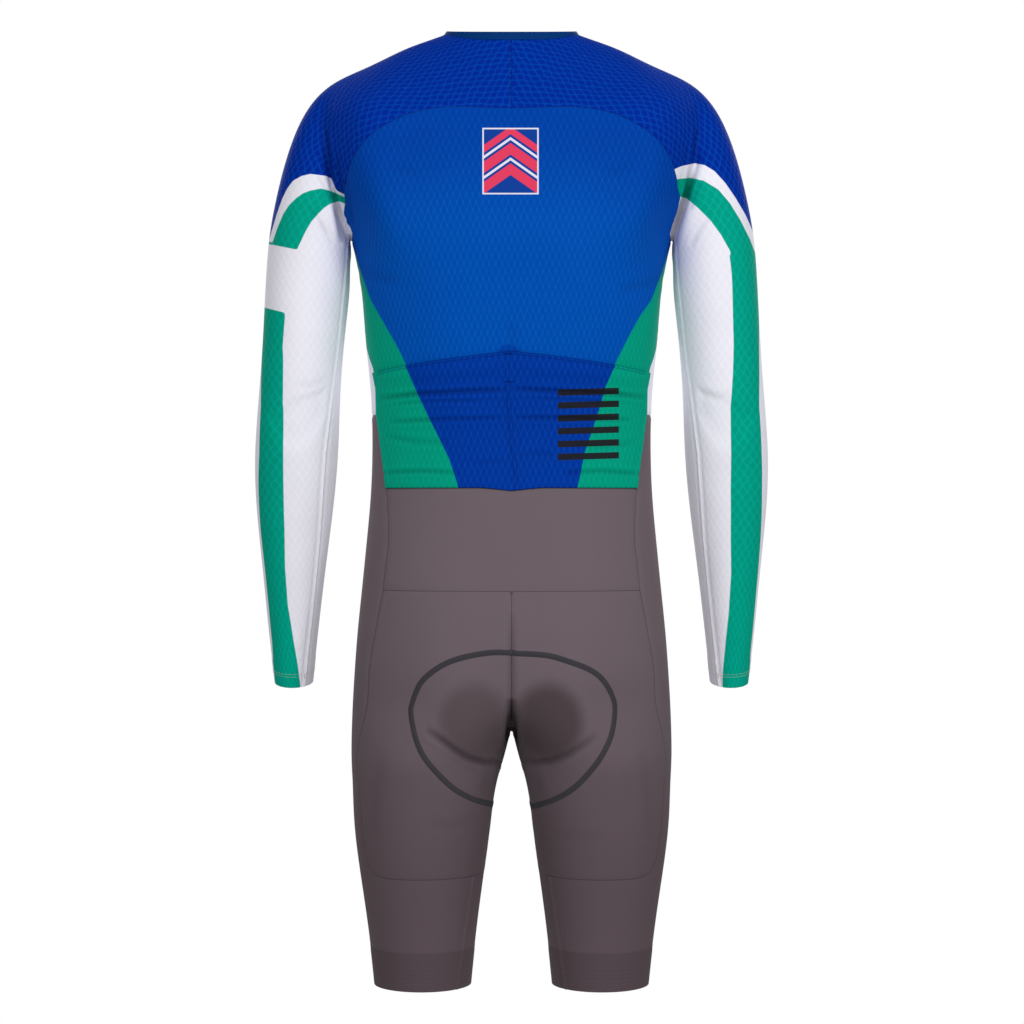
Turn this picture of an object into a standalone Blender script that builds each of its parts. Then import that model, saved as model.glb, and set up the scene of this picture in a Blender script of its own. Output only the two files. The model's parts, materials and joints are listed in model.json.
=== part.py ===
"""Long-sleeve cycling skinsuit in its worn shape, hollow and open at neck, cuffs and leg hems.

+Z is up, the wearer faces -Y and +X is the wearer's left. The origin lies in the neck opening,
on the line of the shoulders that carry the suit. Sizes are in millimetres and become metres as
each mesh is made.

The cloth starts as one smooth form: a cage of control points worked out from short tables of
sections, subdivided to its limit surface. Seam lines are cut into that form, and each piece of
cloth between them gets a wall. Pieces keep a seam gap between them.
"""

import math
from collections import namedtuple

import bmesh
import bpy
import numpy as np
from mathutils import Matrix, Vector

MM = 0.001

# ---------------------------------------------------------------- driving dimensions, mm
WALL = 1.5                  # cloth wall
SEAM_GAP = 0.3              # between neighbouring pieces
FORM_LEVEL = 1              # subdivisions of the cage
FIT_PASSES = 14             # corrections that bring the limit surface onto the sections
SNAP = 0.28                 # share of an edge over which a corner slides onto a seam
CUT_REACH = 60.0            # a seam parts the polygons whose centres lie this close to it
SHARP_ANGLE = math.radians(50.0)

ARMPIT = (164.5, 0.0, -177.0)
FRONT_NECK = (0.0, -76.0, -38.0)
WAIST_FRONT_Z = -356.0      # jersey front to shorts, at the side seam
WAIST_FRONT_DIP = 22.0      # and how much lower it is at the centre front
WAIST_FRONT_DEPTH = 100.0   # where the belly stands this far forward
WAIST_BACK_Z = -431.0       # jersey back to lumbar panel
WAIST_BACK_POINT = (3.0, 30.0)      # depth and half width of its point at the centre back
LUMBAR_Z = -534.0           # lumbar panel to seat panels
HEM_BAND_Z = -826.0         # seat panel to the hem band of the leg
CORNER_RADIUS = 26.0        # of the seat panel's lower corners
INSEAM_Y = -10.0            # seat panel to leg panel on the inner thigh
INNER_TOP_Z = -594.0        # below it the inner side of a leg has a seam of its own
LEG_AXIS_X = 90.0           # parts the outer side of a leg from its inner side
SLEEVE_AXIS_X = 225.0       # the same for a sleeve
RAGLAN_LOW_Z = -230.0       # below it sleeve and body are apart
CHEST_Y = -30.0             # the chest lies in front of it

POCKET_TOP_Z = -294.0       # top hem of the pockets at the centre
POCKET_TOP_DIP = 19.0       # and how much lower it is at the side seams
POCKET_TOP_CORNER = 0.15    # share of the dip that falls close to the side seams
POCKET_HALF_WIDTH = 138.0

ZIP_HALF_WIDTH = 3.3
ZIP_WALL = 2.4
ZIP_LIFT = 0.5
SLIDER_SIZE = (8.5, 12.0, 3.6)      # across, along, out from the chain
SLIDER_BEVEL = 0.5
SLIDER_DROP = 22.0                  # slider's centre below the front neck, along the chain
CHEEK_WALL = 0.9
CHEEK_LENGTH = 4.4
TAB_SIZE = (6.0, 21.0, 1.4)
TAB_BEVEL = 0.5
TAB_BACK = 1.0                      # of the tab beyond its hinge

BINDING_HEIGHT = 6.2
BINDING_WALL = 2.2
BINDING_FOOT = 0.4          # between the neck's edge and the band
BINDING_UPRIGHT = 1.1       # weight of the vertical in the direction in which the band stands
BINDING_END_GAP = 0.5       # between the band's ends and the zip chain

PAD_LOBE = (38.0, -666.0, 37.0, 42.0)   # centre x, centre z, half width, half height
PAD_LOBE_HEIGHT = 3.0
PAD_Y = 20.0                            # the pad shows behind it

# ---------------------------------------------------------------- sections, mm
# Torso: z of the ring, half width, depth of the back and of the front from the side line,
# hollow of the centre line at the back and at the front, exponent of the superellipse.
Torso = namedtuple("Torso", "z half_width back front back_hollow front_hollow square")
TORSO = (
    Torso(-215.0, 156.0, 108.0, -117.0, 3.0, 2.0, 2.30),
    Torso(-250.0, 152.0, 103.0, -115.0, 3.0, 2.0, 2.30),
    Torso(-290.0, 148.8, 97.0, -111.0, 3.0, 1.0, 2.25),
    Torso(-335.0, 144.6, 91.0, -106.0, 3.0, 0.0, 2.20),
    Torso(-385.0, 143.2, 88.0, -102.0, 2.0, 0.0, 2.20),
    Torso(-435.0, 144.7, 91.0, -101.0, 1.0, 0.0, 2.20),
    Torso(-485.0, 149.0, 101.0, -101.0, 1.0, 0.0, 2.20),
    Torso(-535.0, 154.0, 112.0, -100.0, 1.0, 0.0, 2.20),
    Torso(-580.0, 158.5, 118.0, -98.0, 3.0, 0.0, 2.20),
    Torso(-620.0, 161.5, 118.0, -94.0, 8.0, 2.0, 2.20),
    Torso(-655.0, 163.5, 113.0, -89.0, 17.0, 9.0, 2.20),
)

# Yoke: the same half rings above the armpit, each ending on the armhole.
Yoke = namedtuple("Yoke", "z edge_z edge_x edge_back edge_front back front square")
YOKE = (
    Yoke(-42.0, -45.0, 187.0, 38.0, -38.0, 92.0, -84.0, 2.4),
    Yoke(-88.0, -88.0, 187.5, 46.0, -46.0, 104.0, -103.0, 2.4),
    Yoke(-132.0, -135.0, 177.0, 34.0, -34.0, 108.0, -113.0, 2.4),
    Yoke(-178.0, -171.0, 163.0, 26.0, -26.0, 110.0, -116.0, 2.4),
)
YOKE_SPREAD = (0.0, 0.31, 0.59, 0.82, 1.0)      # share of the edge's x at each column

# Shoulder: points across the shoulder at each column from the neck to the armhole.
Shoulder = namedtuple("Shoulder", "column back ridge front")
SHOULDER = (
    Shoulder(1, (47.0, 46.0, 26.5), (69.0, 6.0, 34.0), (57.0, -34.0, 14.0)),
    Shoulder(2, (105.0, 31.0, 12.0), (107.0, 0.0, 20.3), (105.0, -31.0, 9.0)),
    Shoulder(3, (148.0, 28.0, -7.0), (148.0, 0.0, 2.2), (148.0, -28.0, -9.0)),
    Shoulder(4, (186.0, 20.0, -23.0), (185.0, 0.0, -16.0), (186.0, -20.0, -25.0)),
)
BACK_NECK = (0.0, 60.0, 22.8)
SIDE_FRONT_NECK = (38.0, -64.0, -18.0)

# Sleeve: inner and outer end of each ring, centre y, half depth, and the slope of the ring
# from front to back, which follows the forearm.
Sleeve = namedtuple("Sleeve", "inner_x inner_z outer_x outer_z y half_depth slope")
SLEEVE = (
    Sleeve(165.5, -188.0, 212.5, -46.0, 2.0, 47.0, 0.00),
    Sleeve(166.0, -200.0, 231.0, -91.0, 3.0, 50.0, 0.00),
    Sleeve(166.3, -216.0, 243.0, -139.0, 4.0, 50.0, 0.00),
    Sleeve(167.5, -238.0, 250.5, -190.0, 5.0, 49.0, 0.00),
    Sleeve(172.0, -280.0, 254.8, -265.0, 5.0, 47.0, 0.00),
    Sleeve(176.2, -335.0, 259.3, -330.0, 3.0, 45.0, 0.03),
    Sleeve(179.0, -395.0, 264.2, -395.0, -4.0, 44.0, 0.10),
    Sleeve(185.0, -455.0, 263.1, -455.0, -14.0, 41.0, 0.16),
    Sleeve(193.3, -515.0, 258.2, -515.0, -26.0, 37.0, 0.20),
    Sleeve(201.2, -576.0, 253.2, -576.0, -38.0, 32.0, 0.20),
    Sleeve(207.8, -632.0, 247.5, -632.0, -48.0, 28.0, 0.20),
)
SLEEVE_COLUMNS = 12

# Crotch: the strip between the legs, from back to front.
CROTCH = ((0.0, 57.0, -675.0), (0.0, 8.0, -681.0), (0.0, -40.0, -674.0))

# Leg: z of the ring, inner and outer x, back and front y.
Leg = namedtuple("Leg", "z inner outer back front")
LEG = (
    Leg(-700.0, 6.0, 164.3, 103.0, -88.0),
    Leg(-735.0, 15.7, 163.3, 93.0, -88.0),
    Leg(-780.0, 22.2, 161.5, 80.0, -87.0),
    Leg(-834.0, 29.4, 155.0, 67.0, -84.0),
    Leg(-888.0, 36.4, 147.5, 56.0, -80.0),
    Leg(-942.0, 42.0, 141.6, 49.0, -77.0),
)
LEG_COLUMNS = 14
HALF_COLUMNS = 10           # of a torso ring, from centre back to centre front
SIDE = 5                    # column of the side line

# ---------------------------------------------------------------- seam lines, mm
# Raglan seams, (x, z) as seen from behind and from in front. Both end in the armpit and go on
# down the air between arm and body.
RAGLAN_BACK = ((-60.0, -52.0), (0.0, -52.0), (65.0, -50.5), (102.0, -57.0), (120.0, -65.5),
               (136.5, -75.0), (151.0, -88.0), (161.5, -103.0), (167.5, -120.0), (171.0, -136.0))
RAGLAN_FRONT = ((-60.0, -112.0), (0.0, -112.0), (60.0, -106.0), (105.0, -104.0), (140.0, -110.0),
                (160.0, -123.0), (171.0, -138.0))
UNDERARM = ((170.5, -151.0), (163.0, -171.0), (164.5, -177.0), (162.0, -190.0), (161.5, -215.0),
            (161.5, -320.0), (185.0, -600.0), (190.0, -1000.0), (-60.0, -1000.0))

# Side seam: y of the line that parts back from front at each z.
SideSeam = namedtuple("SideSeam", "z y")
SIDE_SEAM = (SideSeam(-835.0, 34.0), SideSeam(-770.0, 40.0), SideSeam(-680.0, 52.0),
             SideSeam(-579.0, 64.0), SideSeam(-536.0, 66.0), SideSeam(-487.0, 61.0),
             SideSeam(-433.0, 48.0), SideSeam(-386.0, 37.0), SideSeam(-354.0, 30.0),
             SideSeam(-330.0, 33.0), SideSeam(-308.0, 29.0), SideSeam(-298.0, 20.0),
             SideSeam(-287.0, 8.0), SideSeam(-266.0, 2.0), SideSeam(-177.0, 0.0))

# Sleeve seam and hem-band seam: x of the line on the inner back of the limb at each z.
LimbSeam = namedtuple("LimbSeam", "z x")
SLEEVE_SEAM = (LimbSeam(-640.0, 216.0), LimbSeam(-560.0, 206.0), LimbSeam(-480.0, 197.0),
               LimbSeam(-395.0, 190.0), LimbSeam(-290.0, 177.0), LimbSeam(-226.0, 169.8),
               LimbSeam(-177.0, 164.5))
HEM_SEAM = (LimbSeam(-942.0, 55.5), LimbSeam(-826.0, 38.5))


# ---------------------------------------------------------------- control cage
class Cage:
    """Named control points of the half x >= 0, and the quads between them."""

    def __init__(self):
        self.points = {}
        self.quads = []

    def strip(self, upper, lower):
        """Join two rows of names, point by point, with quads."""
        for i in range(len(upper) - 1):
            self.quads.append((upper[i], upper[i + 1], lower[i + 1], lower[i]))

    def whole(self):
        """Return the points and quads of both halves as arrays."""
        number = {}
        points = []
        for name, point in self.points.items():
            number[name, False] = len(points)
            points.append(point)
        for name, point in self.points.items():
            if point[0] == 0.0:
                number[name, True] = number[name, False]
            else:
                number[name, True] = len(points)
                points.append((-point[0], point[1], point[2]))
        quads = [[number[name, False] for name in quad] for quad in self.quads]
        quads += [[number[name, True] for name in reversed(quad)] for quad in self.quads]
        return np.array(points), quads


def torso_point(section, column):
    """Point of a torso ring at a column, 0 at the centre back and 10 at the centre front."""
    angle = math.pi * column / HALF_COLUMNS
    power = 2.0 / section.square
    depth = section.back if column <= SIDE else section.front
    x = section.half_width * math.sin(angle) ** power
    y = depth * abs(math.cos(angle)) ** power
    if column in (0, HALF_COLUMNS):
        x = 0.0
        y -= math.copysign(section.back_hollow if column == 0 else section.front_hollow, depth)
    return (x, y, section.z)


def yoke_point(section, column):
    """Point of a half ring above the armpit, which ends on the armhole at columns 4 and 6."""
    back = column < SIDE
    share = YOKE_SPREAD[column if back else HALF_COLUMNS - column]
    edge_y = section.edge_back if back else section.edge_front
    centre_y = section.back if back else section.front
    bulge = (1.0 - share ** section.square) ** (1.0 / section.square)
    z = section.z + (section.edge_z - section.z) * share ** 2
    return (section.edge_x * share, edge_y + (centre_y - edge_y) * bulge, z)


def sleeve_point(section, column):
    """Point of a sleeve ring: column 0 on the inner line, 3 at the back, 6 on the outer line."""
    angle = 2.0 * math.pi * column / SLEEVE_COLUMNS
    share = 0.5 - 0.5 * math.cos(angle)
    depth = section.half_depth * math.sin(angle)
    x = section.inner_x + (section.outer_x - section.inner_x) * share
    z = section.inner_z + (section.outer_z - section.inner_z) * share
    return (x, section.y + depth, z - section.slope * depth)


def leg_point(section, column):
    """Point of a leg ring: column 5 on the outer line, 0 at the inner back, 12 innermost."""
    angle = 2.0 * math.pi * (SIDE - column) / LEG_COLUMNS
    x = 0.5 * (section.inner + section.outer) + 0.5 * (section.outer - section.inner) * math.cos(angle)
    y = 0.5 * (section.back + section.front) + 0.5 * (section.back - section.front) * math.sin(angle)
    return (x, y, section.z)


def build_cage():
    """Lay out the control points of the suit and the quads that join them."""
    cage = Cage()
    columns = range(HALF_COLUMNS + 1)
    back_columns = range(SIDE)
    front_columns = range(SIDE + 1, HALF_COLUMNS + 1)

    for row, section in enumerate(YOKE):
        for column in (*back_columns, *front_columns):
            cage.points["yoke", row, column] = yoke_point(section, column)
    cage.points["yoke", 0, HALF_COLUMNS] = FRONT_NECK
    cage.points["yoke", 0, HALF_COLUMNS - 1] = SIDE_FRONT_NECK
    armpit_row = len(YOKE) - 1
    cage.points["yoke", armpit_row, SIDE] = ARMPIT

    cage.points["top", 0] = BACK_NECK
    for shoulder in SHOULDER:
        cage.points["top", shoulder.column] = shoulder.back
        cage.points["ridge", shoulder.column] = shoulder.ridge
        cage.points["top", HALF_COLUMNS - shoulder.column] = shoulder.front

    for row, section in enumerate(TORSO):
        for column in columns:
            cage.points["torso", row, column] = torso_point(section, column)

    def yoke_row(row, span):
        return [("yoke", row, column) for column in span]

    for row in range(armpit_row):
        cage.strip(yoke_row(row, back_columns), yoke_row(row + 1, back_columns))
        cage.strip(yoke_row(row, front_columns), yoke_row(row + 1, front_columns))
    cage.strip([("top", column) for column in back_columns], yoke_row(0, back_columns))
    cage.strip([("top", column) for column in range(6, 10)], yoke_row(0, range(6, 10)))
    ridge = [("ridge", column) for column in range(1, SIDE)]
    cage.strip(ridge, [("top", column) for column in range(1, SIDE)])
    cage.strip([("top", HALF_COLUMNS - column) for column in range(1, SIDE)], ridge)

    rows = [yoke_row(armpit_row, columns)]
    rows += [[("torso", row, column) for column in columns] for row in range(len(TORSO))]
    for upper, lower in zip(rows, rows[1:]):
        cage.strip(upper, lower)

    back_edge = [("yoke", row, SIDE - 1) for row in reversed(range(len(YOKE)))]
    front_edge = [("yoke", row, SIDE + 1) for row in range(len(YOKE))]
    armhole = [("yoke", armpit_row, SIDE), *back_edge, ("top", SIDE - 1), ("ridge", SIDE - 1),
               ("top", SIDE + 1), *front_edge]
    add_limb(cage, "sleeve", armhole, SLEEVE, sleeve_point)

    leg_top = list(rows[-1])
    for place, point in enumerate(reversed(CROTCH)):
        cage.points["crotch", place] = point
        leg_top.append(("crotch", place))
    add_limb(cage, "leg", leg_top, LEG, leg_point)
    return cage


def add_limb(cage, limb, top_loop, sections, point_of):
    """Add a tube of rings under a closed loop of names."""
    loop = top_loop
    for row, section in enumerate(sections):
        ring = [(limb, row, column) for column in range(len(top_loop))]
        for name in ring:
            cage.points[name] = point_of(section, name[2])
        cage.strip([*loop, loop[0]], [*ring, ring[0]])
        loop = ring


# ---------------------------------------------------------------- smooth form
def subdivide(points, quads, level):
    """Return the points and polygons of the cage's limit surface; the cage's own come first."""
    mesh = bpy.data.meshes.new("form")
    mesh.from_pydata(points.tolist(), [], quads)
    form = bpy.data.objects.new("form", mesh)
    bpy.context.scene.collection.objects.link(form)
    smooth = form.modifiers.new("smooth", "SUBSURF")
    smooth.levels = level
    smooth.render_levels = level
    smooth.use_limit_surface = True
    result = form.evaluated_get(bpy.context.evaluated_depsgraph_get()).to_mesh()
    fine = np.empty(3 * len(result.vertices))
    result.vertices.foreach_get("co", fine)
    polygons = [list(polygon.vertices) for polygon in result.polygons]
    bpy.data.objects.remove(form)
    bpy.data.meshes.remove(mesh)
    return fine.reshape(-1, 3), polygons


def fitted_form(cage, level):
    """Subdivide the cage so that its limit surface passes through the sections' points."""
    target, quads = cage.whole()
    control = target.copy()
    for _ in range(FIT_PASSES):
        reached, _polygons = subdivide(control, quads, 1)
        control += target - reached[:len(target)]
        control[target[:, 0] == 0.0, 0] = 0.0
    points, polygons = subdivide(control, quads, level)
    points[np.abs(points[:, 0]) < 0.01, 0] = 0.0
    return Surface(points, polygons)


class Surface:
    """Cloth surface: points in mm, polygons, and the lines that run through each point."""

    def __init__(self, points, polygons):
        self.points = points
        self.polygons = polygons
        self.lines = {}
        for number in np.nonzero(points[:, 0] == 0.0)[0]:
            self.mark(int(number), "centre")
        for loop in boundary_loops(polygons):
            for number in loop:
                self.mark(number, "edge")

    def mark(self, number, line):
        """Note that a line runs through a point."""
        self.lines.setdefault(number, set()).add(line)

    def on(self, line):
        """Return the numbers of the points that a line runs through."""
        return {number for number, lines in self.lines.items() if line in lines}

    def centres(self):
        """Return the mean point of each polygon."""
        return np.array([self.points[polygon].mean(axis=0) for polygon in self.polygons])

    def normals(self):
        """Return the outward normal at each point."""
        mesh = bpy.data.meshes.new("normals")
        mesh.from_pydata(self.points.tolist(), [], self.polygons)
        normals = np.empty(3 * len(self.points))
        mesh.vertex_normals.foreach_get("vector", normals)
        bpy.data.meshes.remove(mesh)
        return normals.reshape(-1, 3)

    def cut(self, line, field, domain):
        """Run a seam line through the polygons of a domain, where the field is zero."""
        values = field(self.points)
        centres = self.centres()
        inside = domain(centres) & (np.abs(field(centres)) < CUT_REACH)
        edges = set()
        for polygon, chosen in zip(self.polygons, inside):
            if chosen:
                edges.update(polygon_edges(polygon))
        self.snap(edges, values)
        added = {}
        points = list(self.points)
        values = list(values)
        for a, b in sorted(edges):
            if values[a] * values[b] < 0.0:
                share = values[a] / (values[a] - values[b])
                added[a, b] = len(points)
                points.append(points[a] + share * (points[b] - points[a]))
                values.append(0.0)
                for shared in self.lines.get(a, set()) & self.lines.get(b, set()):
                    self.mark(added[a, b], shared)
        self.points = np.array(points)
        polygons = []
        for polygon, chosen in zip(self.polygons, inside):
            polygon = with_added(polygon, added)
            if chosen:
                for number in polygon:
                    if values[number] == 0.0:
                        self.mark(number, line)
                polygons += split_polygon(polygon, values)
            else:
                polygons.append(polygon)
        self.polygons = polygons

    def triangulate(self):
        """Part every polygon into triangles, so that layers made from it lie parallel.

        Returns the number of the polygon that each triangle comes from.
        """
        work = bmesh.new()
        source = work.faces.layers.int.new("source")
        corners = [work.verts.new(point) for point in self.points]
        for place, polygon in enumerate(self.polygons):
            work.faces.new([corners[number] for number in polygon])[source] = place
        work.verts.index_update()
        bmesh.ops.triangulate(work, faces=work.faces, quad_method="SHORT_EDGE")
        self.polygons = [[vertex.index for vertex in face.verts] for face in work.faces]
        origin = [face[source] for face in work.faces]
        work.free()
        return origin

    def snap(self, edges, values):
        """Slide corners that lie close to the seam along an edge onto it."""
        nearest = {}
        for a, b in sorted(edges):
            if values[a] * values[b] >= 0.0:
                continue
            share = values[a] / (values[a] - values[b])
            for number, other, part in ((a, b, share), (b, a, 1.0 - share)):
                free = self.lines.get(number, set()) <= self.lines.get(other, set())
                if free and part < nearest.get(number, (SNAP, None))[0]:
                    nearest[number] = (part, other)
        start = self.points.copy()
        for number, (part, other) in nearest.items():
            self.points[number] = start[number] + part * (start[other] - start[number])
            values[number] = 0.0


def polygon_edges(polygon):
    """Return the edges of a polygon, each with its lower number first."""
    return [tuple(sorted(pair)) for pair in zip(polygon, polygon[1:] + polygon[:1])]


def with_added(polygon, added):
    """Return the polygon with the points that were added on its edges."""
    result = []
    for a, b in zip(polygon, polygon[1:] + polygon[:1]):
        result.append(a)
        number = added.get((min(a, b), max(a, b)))
        if number is not None:
            result.append(number)
    return result


def split_polygon(polygon, values):
    """Part a polygon between two corners on the seam, if it lies on both sides of it."""
    on_seam = [i for i, number in enumerate(polygon) if values[number] == 0.0]
    for i in on_seam:
        for j in on_seam:
            if j <= i + 1 or (i == 0 and j == len(polygon) - 1):
                continue
            first = polygon[i:j + 1]
            second = polygon[j:] + polygon[:i + 1]
            low = sum(values[number] for number in first)
            high = sum(values[number] for number in second)
            if low * high < 0.0:
                return [first, second]
    return [polygon]


def boundary_loops(polygons):
    """Return the open edges of a surface as closed loops of point numbers."""
    follow = {}
    seen = set()
    for polygon in polygons:
        seen.update(zip(polygon, polygon[1:] + polygon[:1]))
    for a, b in seen:
        if (b, a) not in seen:
            follow[a] = b
    loops = []
    while follow:
        start = min(follow)
        loop = [start]
        number = follow.pop(start)
        while number != start:
            loop.append(number)
            number = follow.pop(number)
        loops.append(loop)
    return loops


# ---------------------------------------------------------------- seam fields
def signed_distance(x, z, outline):
    """Distance in the x-z plane to a closed outline, below zero inside it."""
    corners = np.array(outline)
    nearest = np.full(len(x), np.inf)
    inside = np.zeros(len(x), dtype=bool)
    for (x0, z0), (x1, z1) in zip(corners, np.roll(corners, -1, axis=0)):
        run = ((x - x0) * (x1 - x0) + (z - z0) * (z1 - z0)) / ((x1 - x0) ** 2 + (z1 - z0) ** 2)
        run = np.clip(run, 0.0, 1.0)
        nearest = np.minimum(nearest, np.hypot(x - x0 - run * (x1 - x0), z - z0 - run * (z1 - z0)))
        if z0 != z1:
            crosses = (z0 > z) != (z1 > z)
            inside ^= crosses & (x < x0 + (z - z0) * (x1 - x0) / (z1 - z0))
    return np.where(inside, -nearest, nearest)


def sleeve_side(p):
    """Above zero on the raglan sleeves and the yoke, below zero on the body and the legs."""
    x = np.abs(p[:, 0])
    back = signed_distance(x, p[:, 2], RAGLAN_BACK + UNDERARM)
    front = signed_distance(x, p[:, 2], RAGLAN_FRONT + UNDERARM)
    return np.where(p[:, 1] >= 0.0, back, front)


def smooth_least(a, b, radius):
    """The lesser of two fields, with their corner rounded."""
    blend = np.clip(0.5 + 0.5 * (b - a) / radius, 0.0, 1.0)
    return b + (a - b) * blend - radius * blend * (1.0 - blend)


def back_side(p):
    """Above zero on the back, lumbar and seat panels, below zero on the fronts and the legs."""
    seam_z, seam_y = np.array(SIDE_SEAM).T
    outer = np.interp(p[:, 2], seam_z, seam_y)
    inner = (np.abs(p[:, 0]) < LEG_AXIS_X) & (p[:, 2] < INNER_TOP_Z)
    along_side = p[:, 1] - np.where(inner, INSEAM_Y, outer)
    return smooth_least(along_side, p[:, 2] - HEM_BAND_Z, CORNER_RADIUS)


def front_waist(p):
    """Height above the seam between the jersey fronts and the shorts."""
    depth = np.clip(-p[:, 1] / WAIST_FRONT_DEPTH, 0.0, 1.0)
    return p[:, 2] - WAIST_FRONT_Z + WAIST_FRONT_DIP * depth


def back_waist(p):
    """Height above the seam between the jersey back and the lumbar panel."""
    dip, half_width = WAIST_BACK_POINT
    return p[:, 2] - WAIST_BACK_Z + dip * np.clip(1.0 - np.abs(p[:, 0]) / half_width, 0.0, 1.0)


def lumbar_seam(p):
    """Height above the seam between the lumbar panel and the seat panels."""
    return p[:, 2] - LUMBAR_Z


def pocket_top(p):
    """Height above the top hem of the pockets."""
    share = np.abs(p[:, 0]) / POCKET_HALF_WIDTH
    fall = (1.0 - POCKET_TOP_CORNER) * share + POCKET_TOP_CORNER * share ** 4
    return p[:, 2] - POCKET_TOP_Z + POCKET_TOP_DIP * fall


def zip_side(p):
    """Distance outside the zip chain."""
    return np.abs(p[:, 0]) - ZIP_HALF_WIDTH


def limb_axis_y(z, sections):
    """Centre y of a sleeve or of a leg at each z."""
    ends = sorted((section_z(section), section_y(section)) for section in sections)
    levels, depths = np.array(ends).T
    return np.interp(z, levels, depths)


def section_z(section):
    """Mean z of a limb's section."""
    return section.z if hasattr(section, "z") else 0.5 * (section.inner_z + section.outer_z)


def section_y(section):
    """Centre y of a limb's section."""
    return section.y if hasattr(section, "y") else 0.5 * (section.back + section.front)


def limb_seam(p, seam, sections):
    """Above zero on the back of a limb outside its seam, below zero on the rest."""
    seam_z, seam_x = np.array(seam).T
    outside = np.abs(p[:, 0]) - np.interp(p[:, 2], seam_z, seam_x)
    behind = p[:, 1] - limb_axis_y(p[:, 2], sections)
    return np.where(behind > 0.0, outside, -np.abs(outside) - 1.0)


def sleeve_seam(p):
    """The sleeve's seam as a field."""
    return limb_seam(p, SLEEVE_SEAM, SLEEVE)


def hem_seam(p):
    """The hem band's seam as a field."""
    return limb_seam(p, HEM_SEAM, LEG)


def is_body(p):
    """Whether points lie on the body and the legs."""
    return sleeve_side(p) < 0.0


def on_back(p):
    """Whether points lie on the back, lumbar and seat panels."""
    return is_body(p) & (back_side(p) > 0.0)


def on_front(p):
    """Whether points lie on the jersey fronts, the fronts of the legs and the hem bands."""
    return is_body(p) & (back_side(p) < 0.0)


def on_chest(p):
    """Whether points lie in front, above the waist seam."""
    return (p[:, 1] < CHEST_Y) & (front_waist(p) > 0.0)


def on_inner_sleeve(p):
    """Whether points lie on the inner back of a sleeve, below the armpit."""
    behind = p[:, 1] > limb_axis_y(p[:, 2], SLEEVE)
    return ~is_body(p) & behind & (p[:, 2] < ARMPIT[2]) & (np.abs(p[:, 0]) < SLEEVE_AXIS_X)


def on_inner_hem(p):
    """Whether points lie on the inner back of a hem band."""
    behind = p[:, 1] > limb_axis_y(p[:, 2], LEG)
    return on_front(p) & behind & (p[:, 2] < HEM_BAND_Z) & (np.abs(p[:, 0]) < LEG_AXIS_X)


def cut_seams(form):
    """Run every seam line through the form."""
    form.cut("raglan", sleeve_side, lambda p: p[:, 2] > RAGLAN_LOW_Z)
    form.cut("side", back_side, is_body)
    form.cut("front waist", front_waist, on_front)
    form.cut("back waist", back_waist, on_back)
    form.cut("lumbar", lumbar_seam, on_back)
    form.cut("pocket", pocket_top, on_back)
    form.cut("zip", zip_side, on_chest)
    form.cut("sleeve seam", sleeve_seam, on_inner_sleeve)
    form.cut("hem seam", hem_seam, on_inner_hem)


def piece_names(p):
    """Name the piece of cloth that each polygon belongs to, from its centre."""
    side = np.where(p[:, 0] > 0.0, "left", "right")
    names = np.char.add("leg_", side).astype("U20")
    jersey_front = front_waist(p) > 0.0
    names[jersey_front] = np.char.add("front_", side)[jersey_front]
    back = on_back(p)
    names[back] = np.char.add("seat_", side)[back]
    names[back & (lumbar_seam(p) > 0.0)] = "lumbar_panel"
    names[back & (back_waist(p) > 0.0)] = "back_panel"
    sleeve = ~is_body(p)
    names[sleeve] = np.char.add("sleeve_", side)[sleeve]
    names[on_chest(p) & (zip_side(p) < 0.0)] = "zip_chain"
    return names


# ---------------------------------------------------------------- solids
def cloth_solid(name, form, normals, chosen, lift=0.0, wall=WALL, slit=None, beyond=None):
    """Make a closed wall from the chosen polygons of the form, drawn in by half the seam gap.

    lift moves its outer face out from the form. Along a slit line, the polygons beyond it keep
    corners of their own, so that the line opens as a seam.
    """
    slit_points = form.on(slit) if slit else set()
    number = {}
    source = []
    own = []
    for place in np.nonzero(chosen)[0]:
        corners = []
        for corner in form.polygons[place]:
            key = (corner, corner in slit_points and bool(beyond[place]))
            if key not in number:
                number[key] = len(source)
                source.append(corner)
            corners.append(number[key])
        own.append(corners)
    points = form.points[source]
    normal = normals[source]
    loops = boundary_loops(own)
    points = points + drawn_in(points, normal, loops)
    outer = points + lift * normal
    inner = points + (lift - wall) * normal
    count = len(points)
    faces = list(own)
    faces += [[corner + count for corner in reversed(polygon)] for polygon in own]
    for loop in loops:
        for a, b in zip(loop, loop[1:] + loop[:1]):
            if source[a] < source[b]:
                faces += [[b, a, a + count], [b, a + count, b + count]]
            else:
                faces += [[b, a, b + count], [a, a + count, b + count]]
    return make_object(name, np.vstack((outer, inner)), faces)


def drawn_in(points, normals, loops):
    """Shift that moves the points of open edges inward by half the seam gap."""
    shift = np.zeros_like(points)
    for loop in loops:
        for before, here, after in zip(loop[-1:] + loop[:-1], loop, loop[1:] + loop[:1]):
            ways = []
            for a, b in ((before, here), (here, after)):
                way = np.cross(normals[here], points[b] - points[a])
                ways.append(way / np.linalg.norm(way))
            spread = max(1.0 + float(ways[0] @ ways[1]), 0.5)
            shift[here] = 0.5 * SEAM_GAP * (ways[0] + ways[1]) / spread
    return shift


def make_object(name, points, faces):
    """Add a mesh object with its points given in mm."""
    mesh = bpy.data.meshes.new(name)
    mesh.from_pydata((np.asarray(points) * MM).tolist(), [], faces)
    mesh.update()
    mesh.shade_smooth()
    mesh.set_sharp_from_angle(angle=SHARP_ANGLE)
    made = bpy.data.objects.new(name, mesh)
    bpy.context.scene.collection.objects.link(made)
    made.data.materials.append(MATERIALS[FINISH_OF[name]])
    return made


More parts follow.
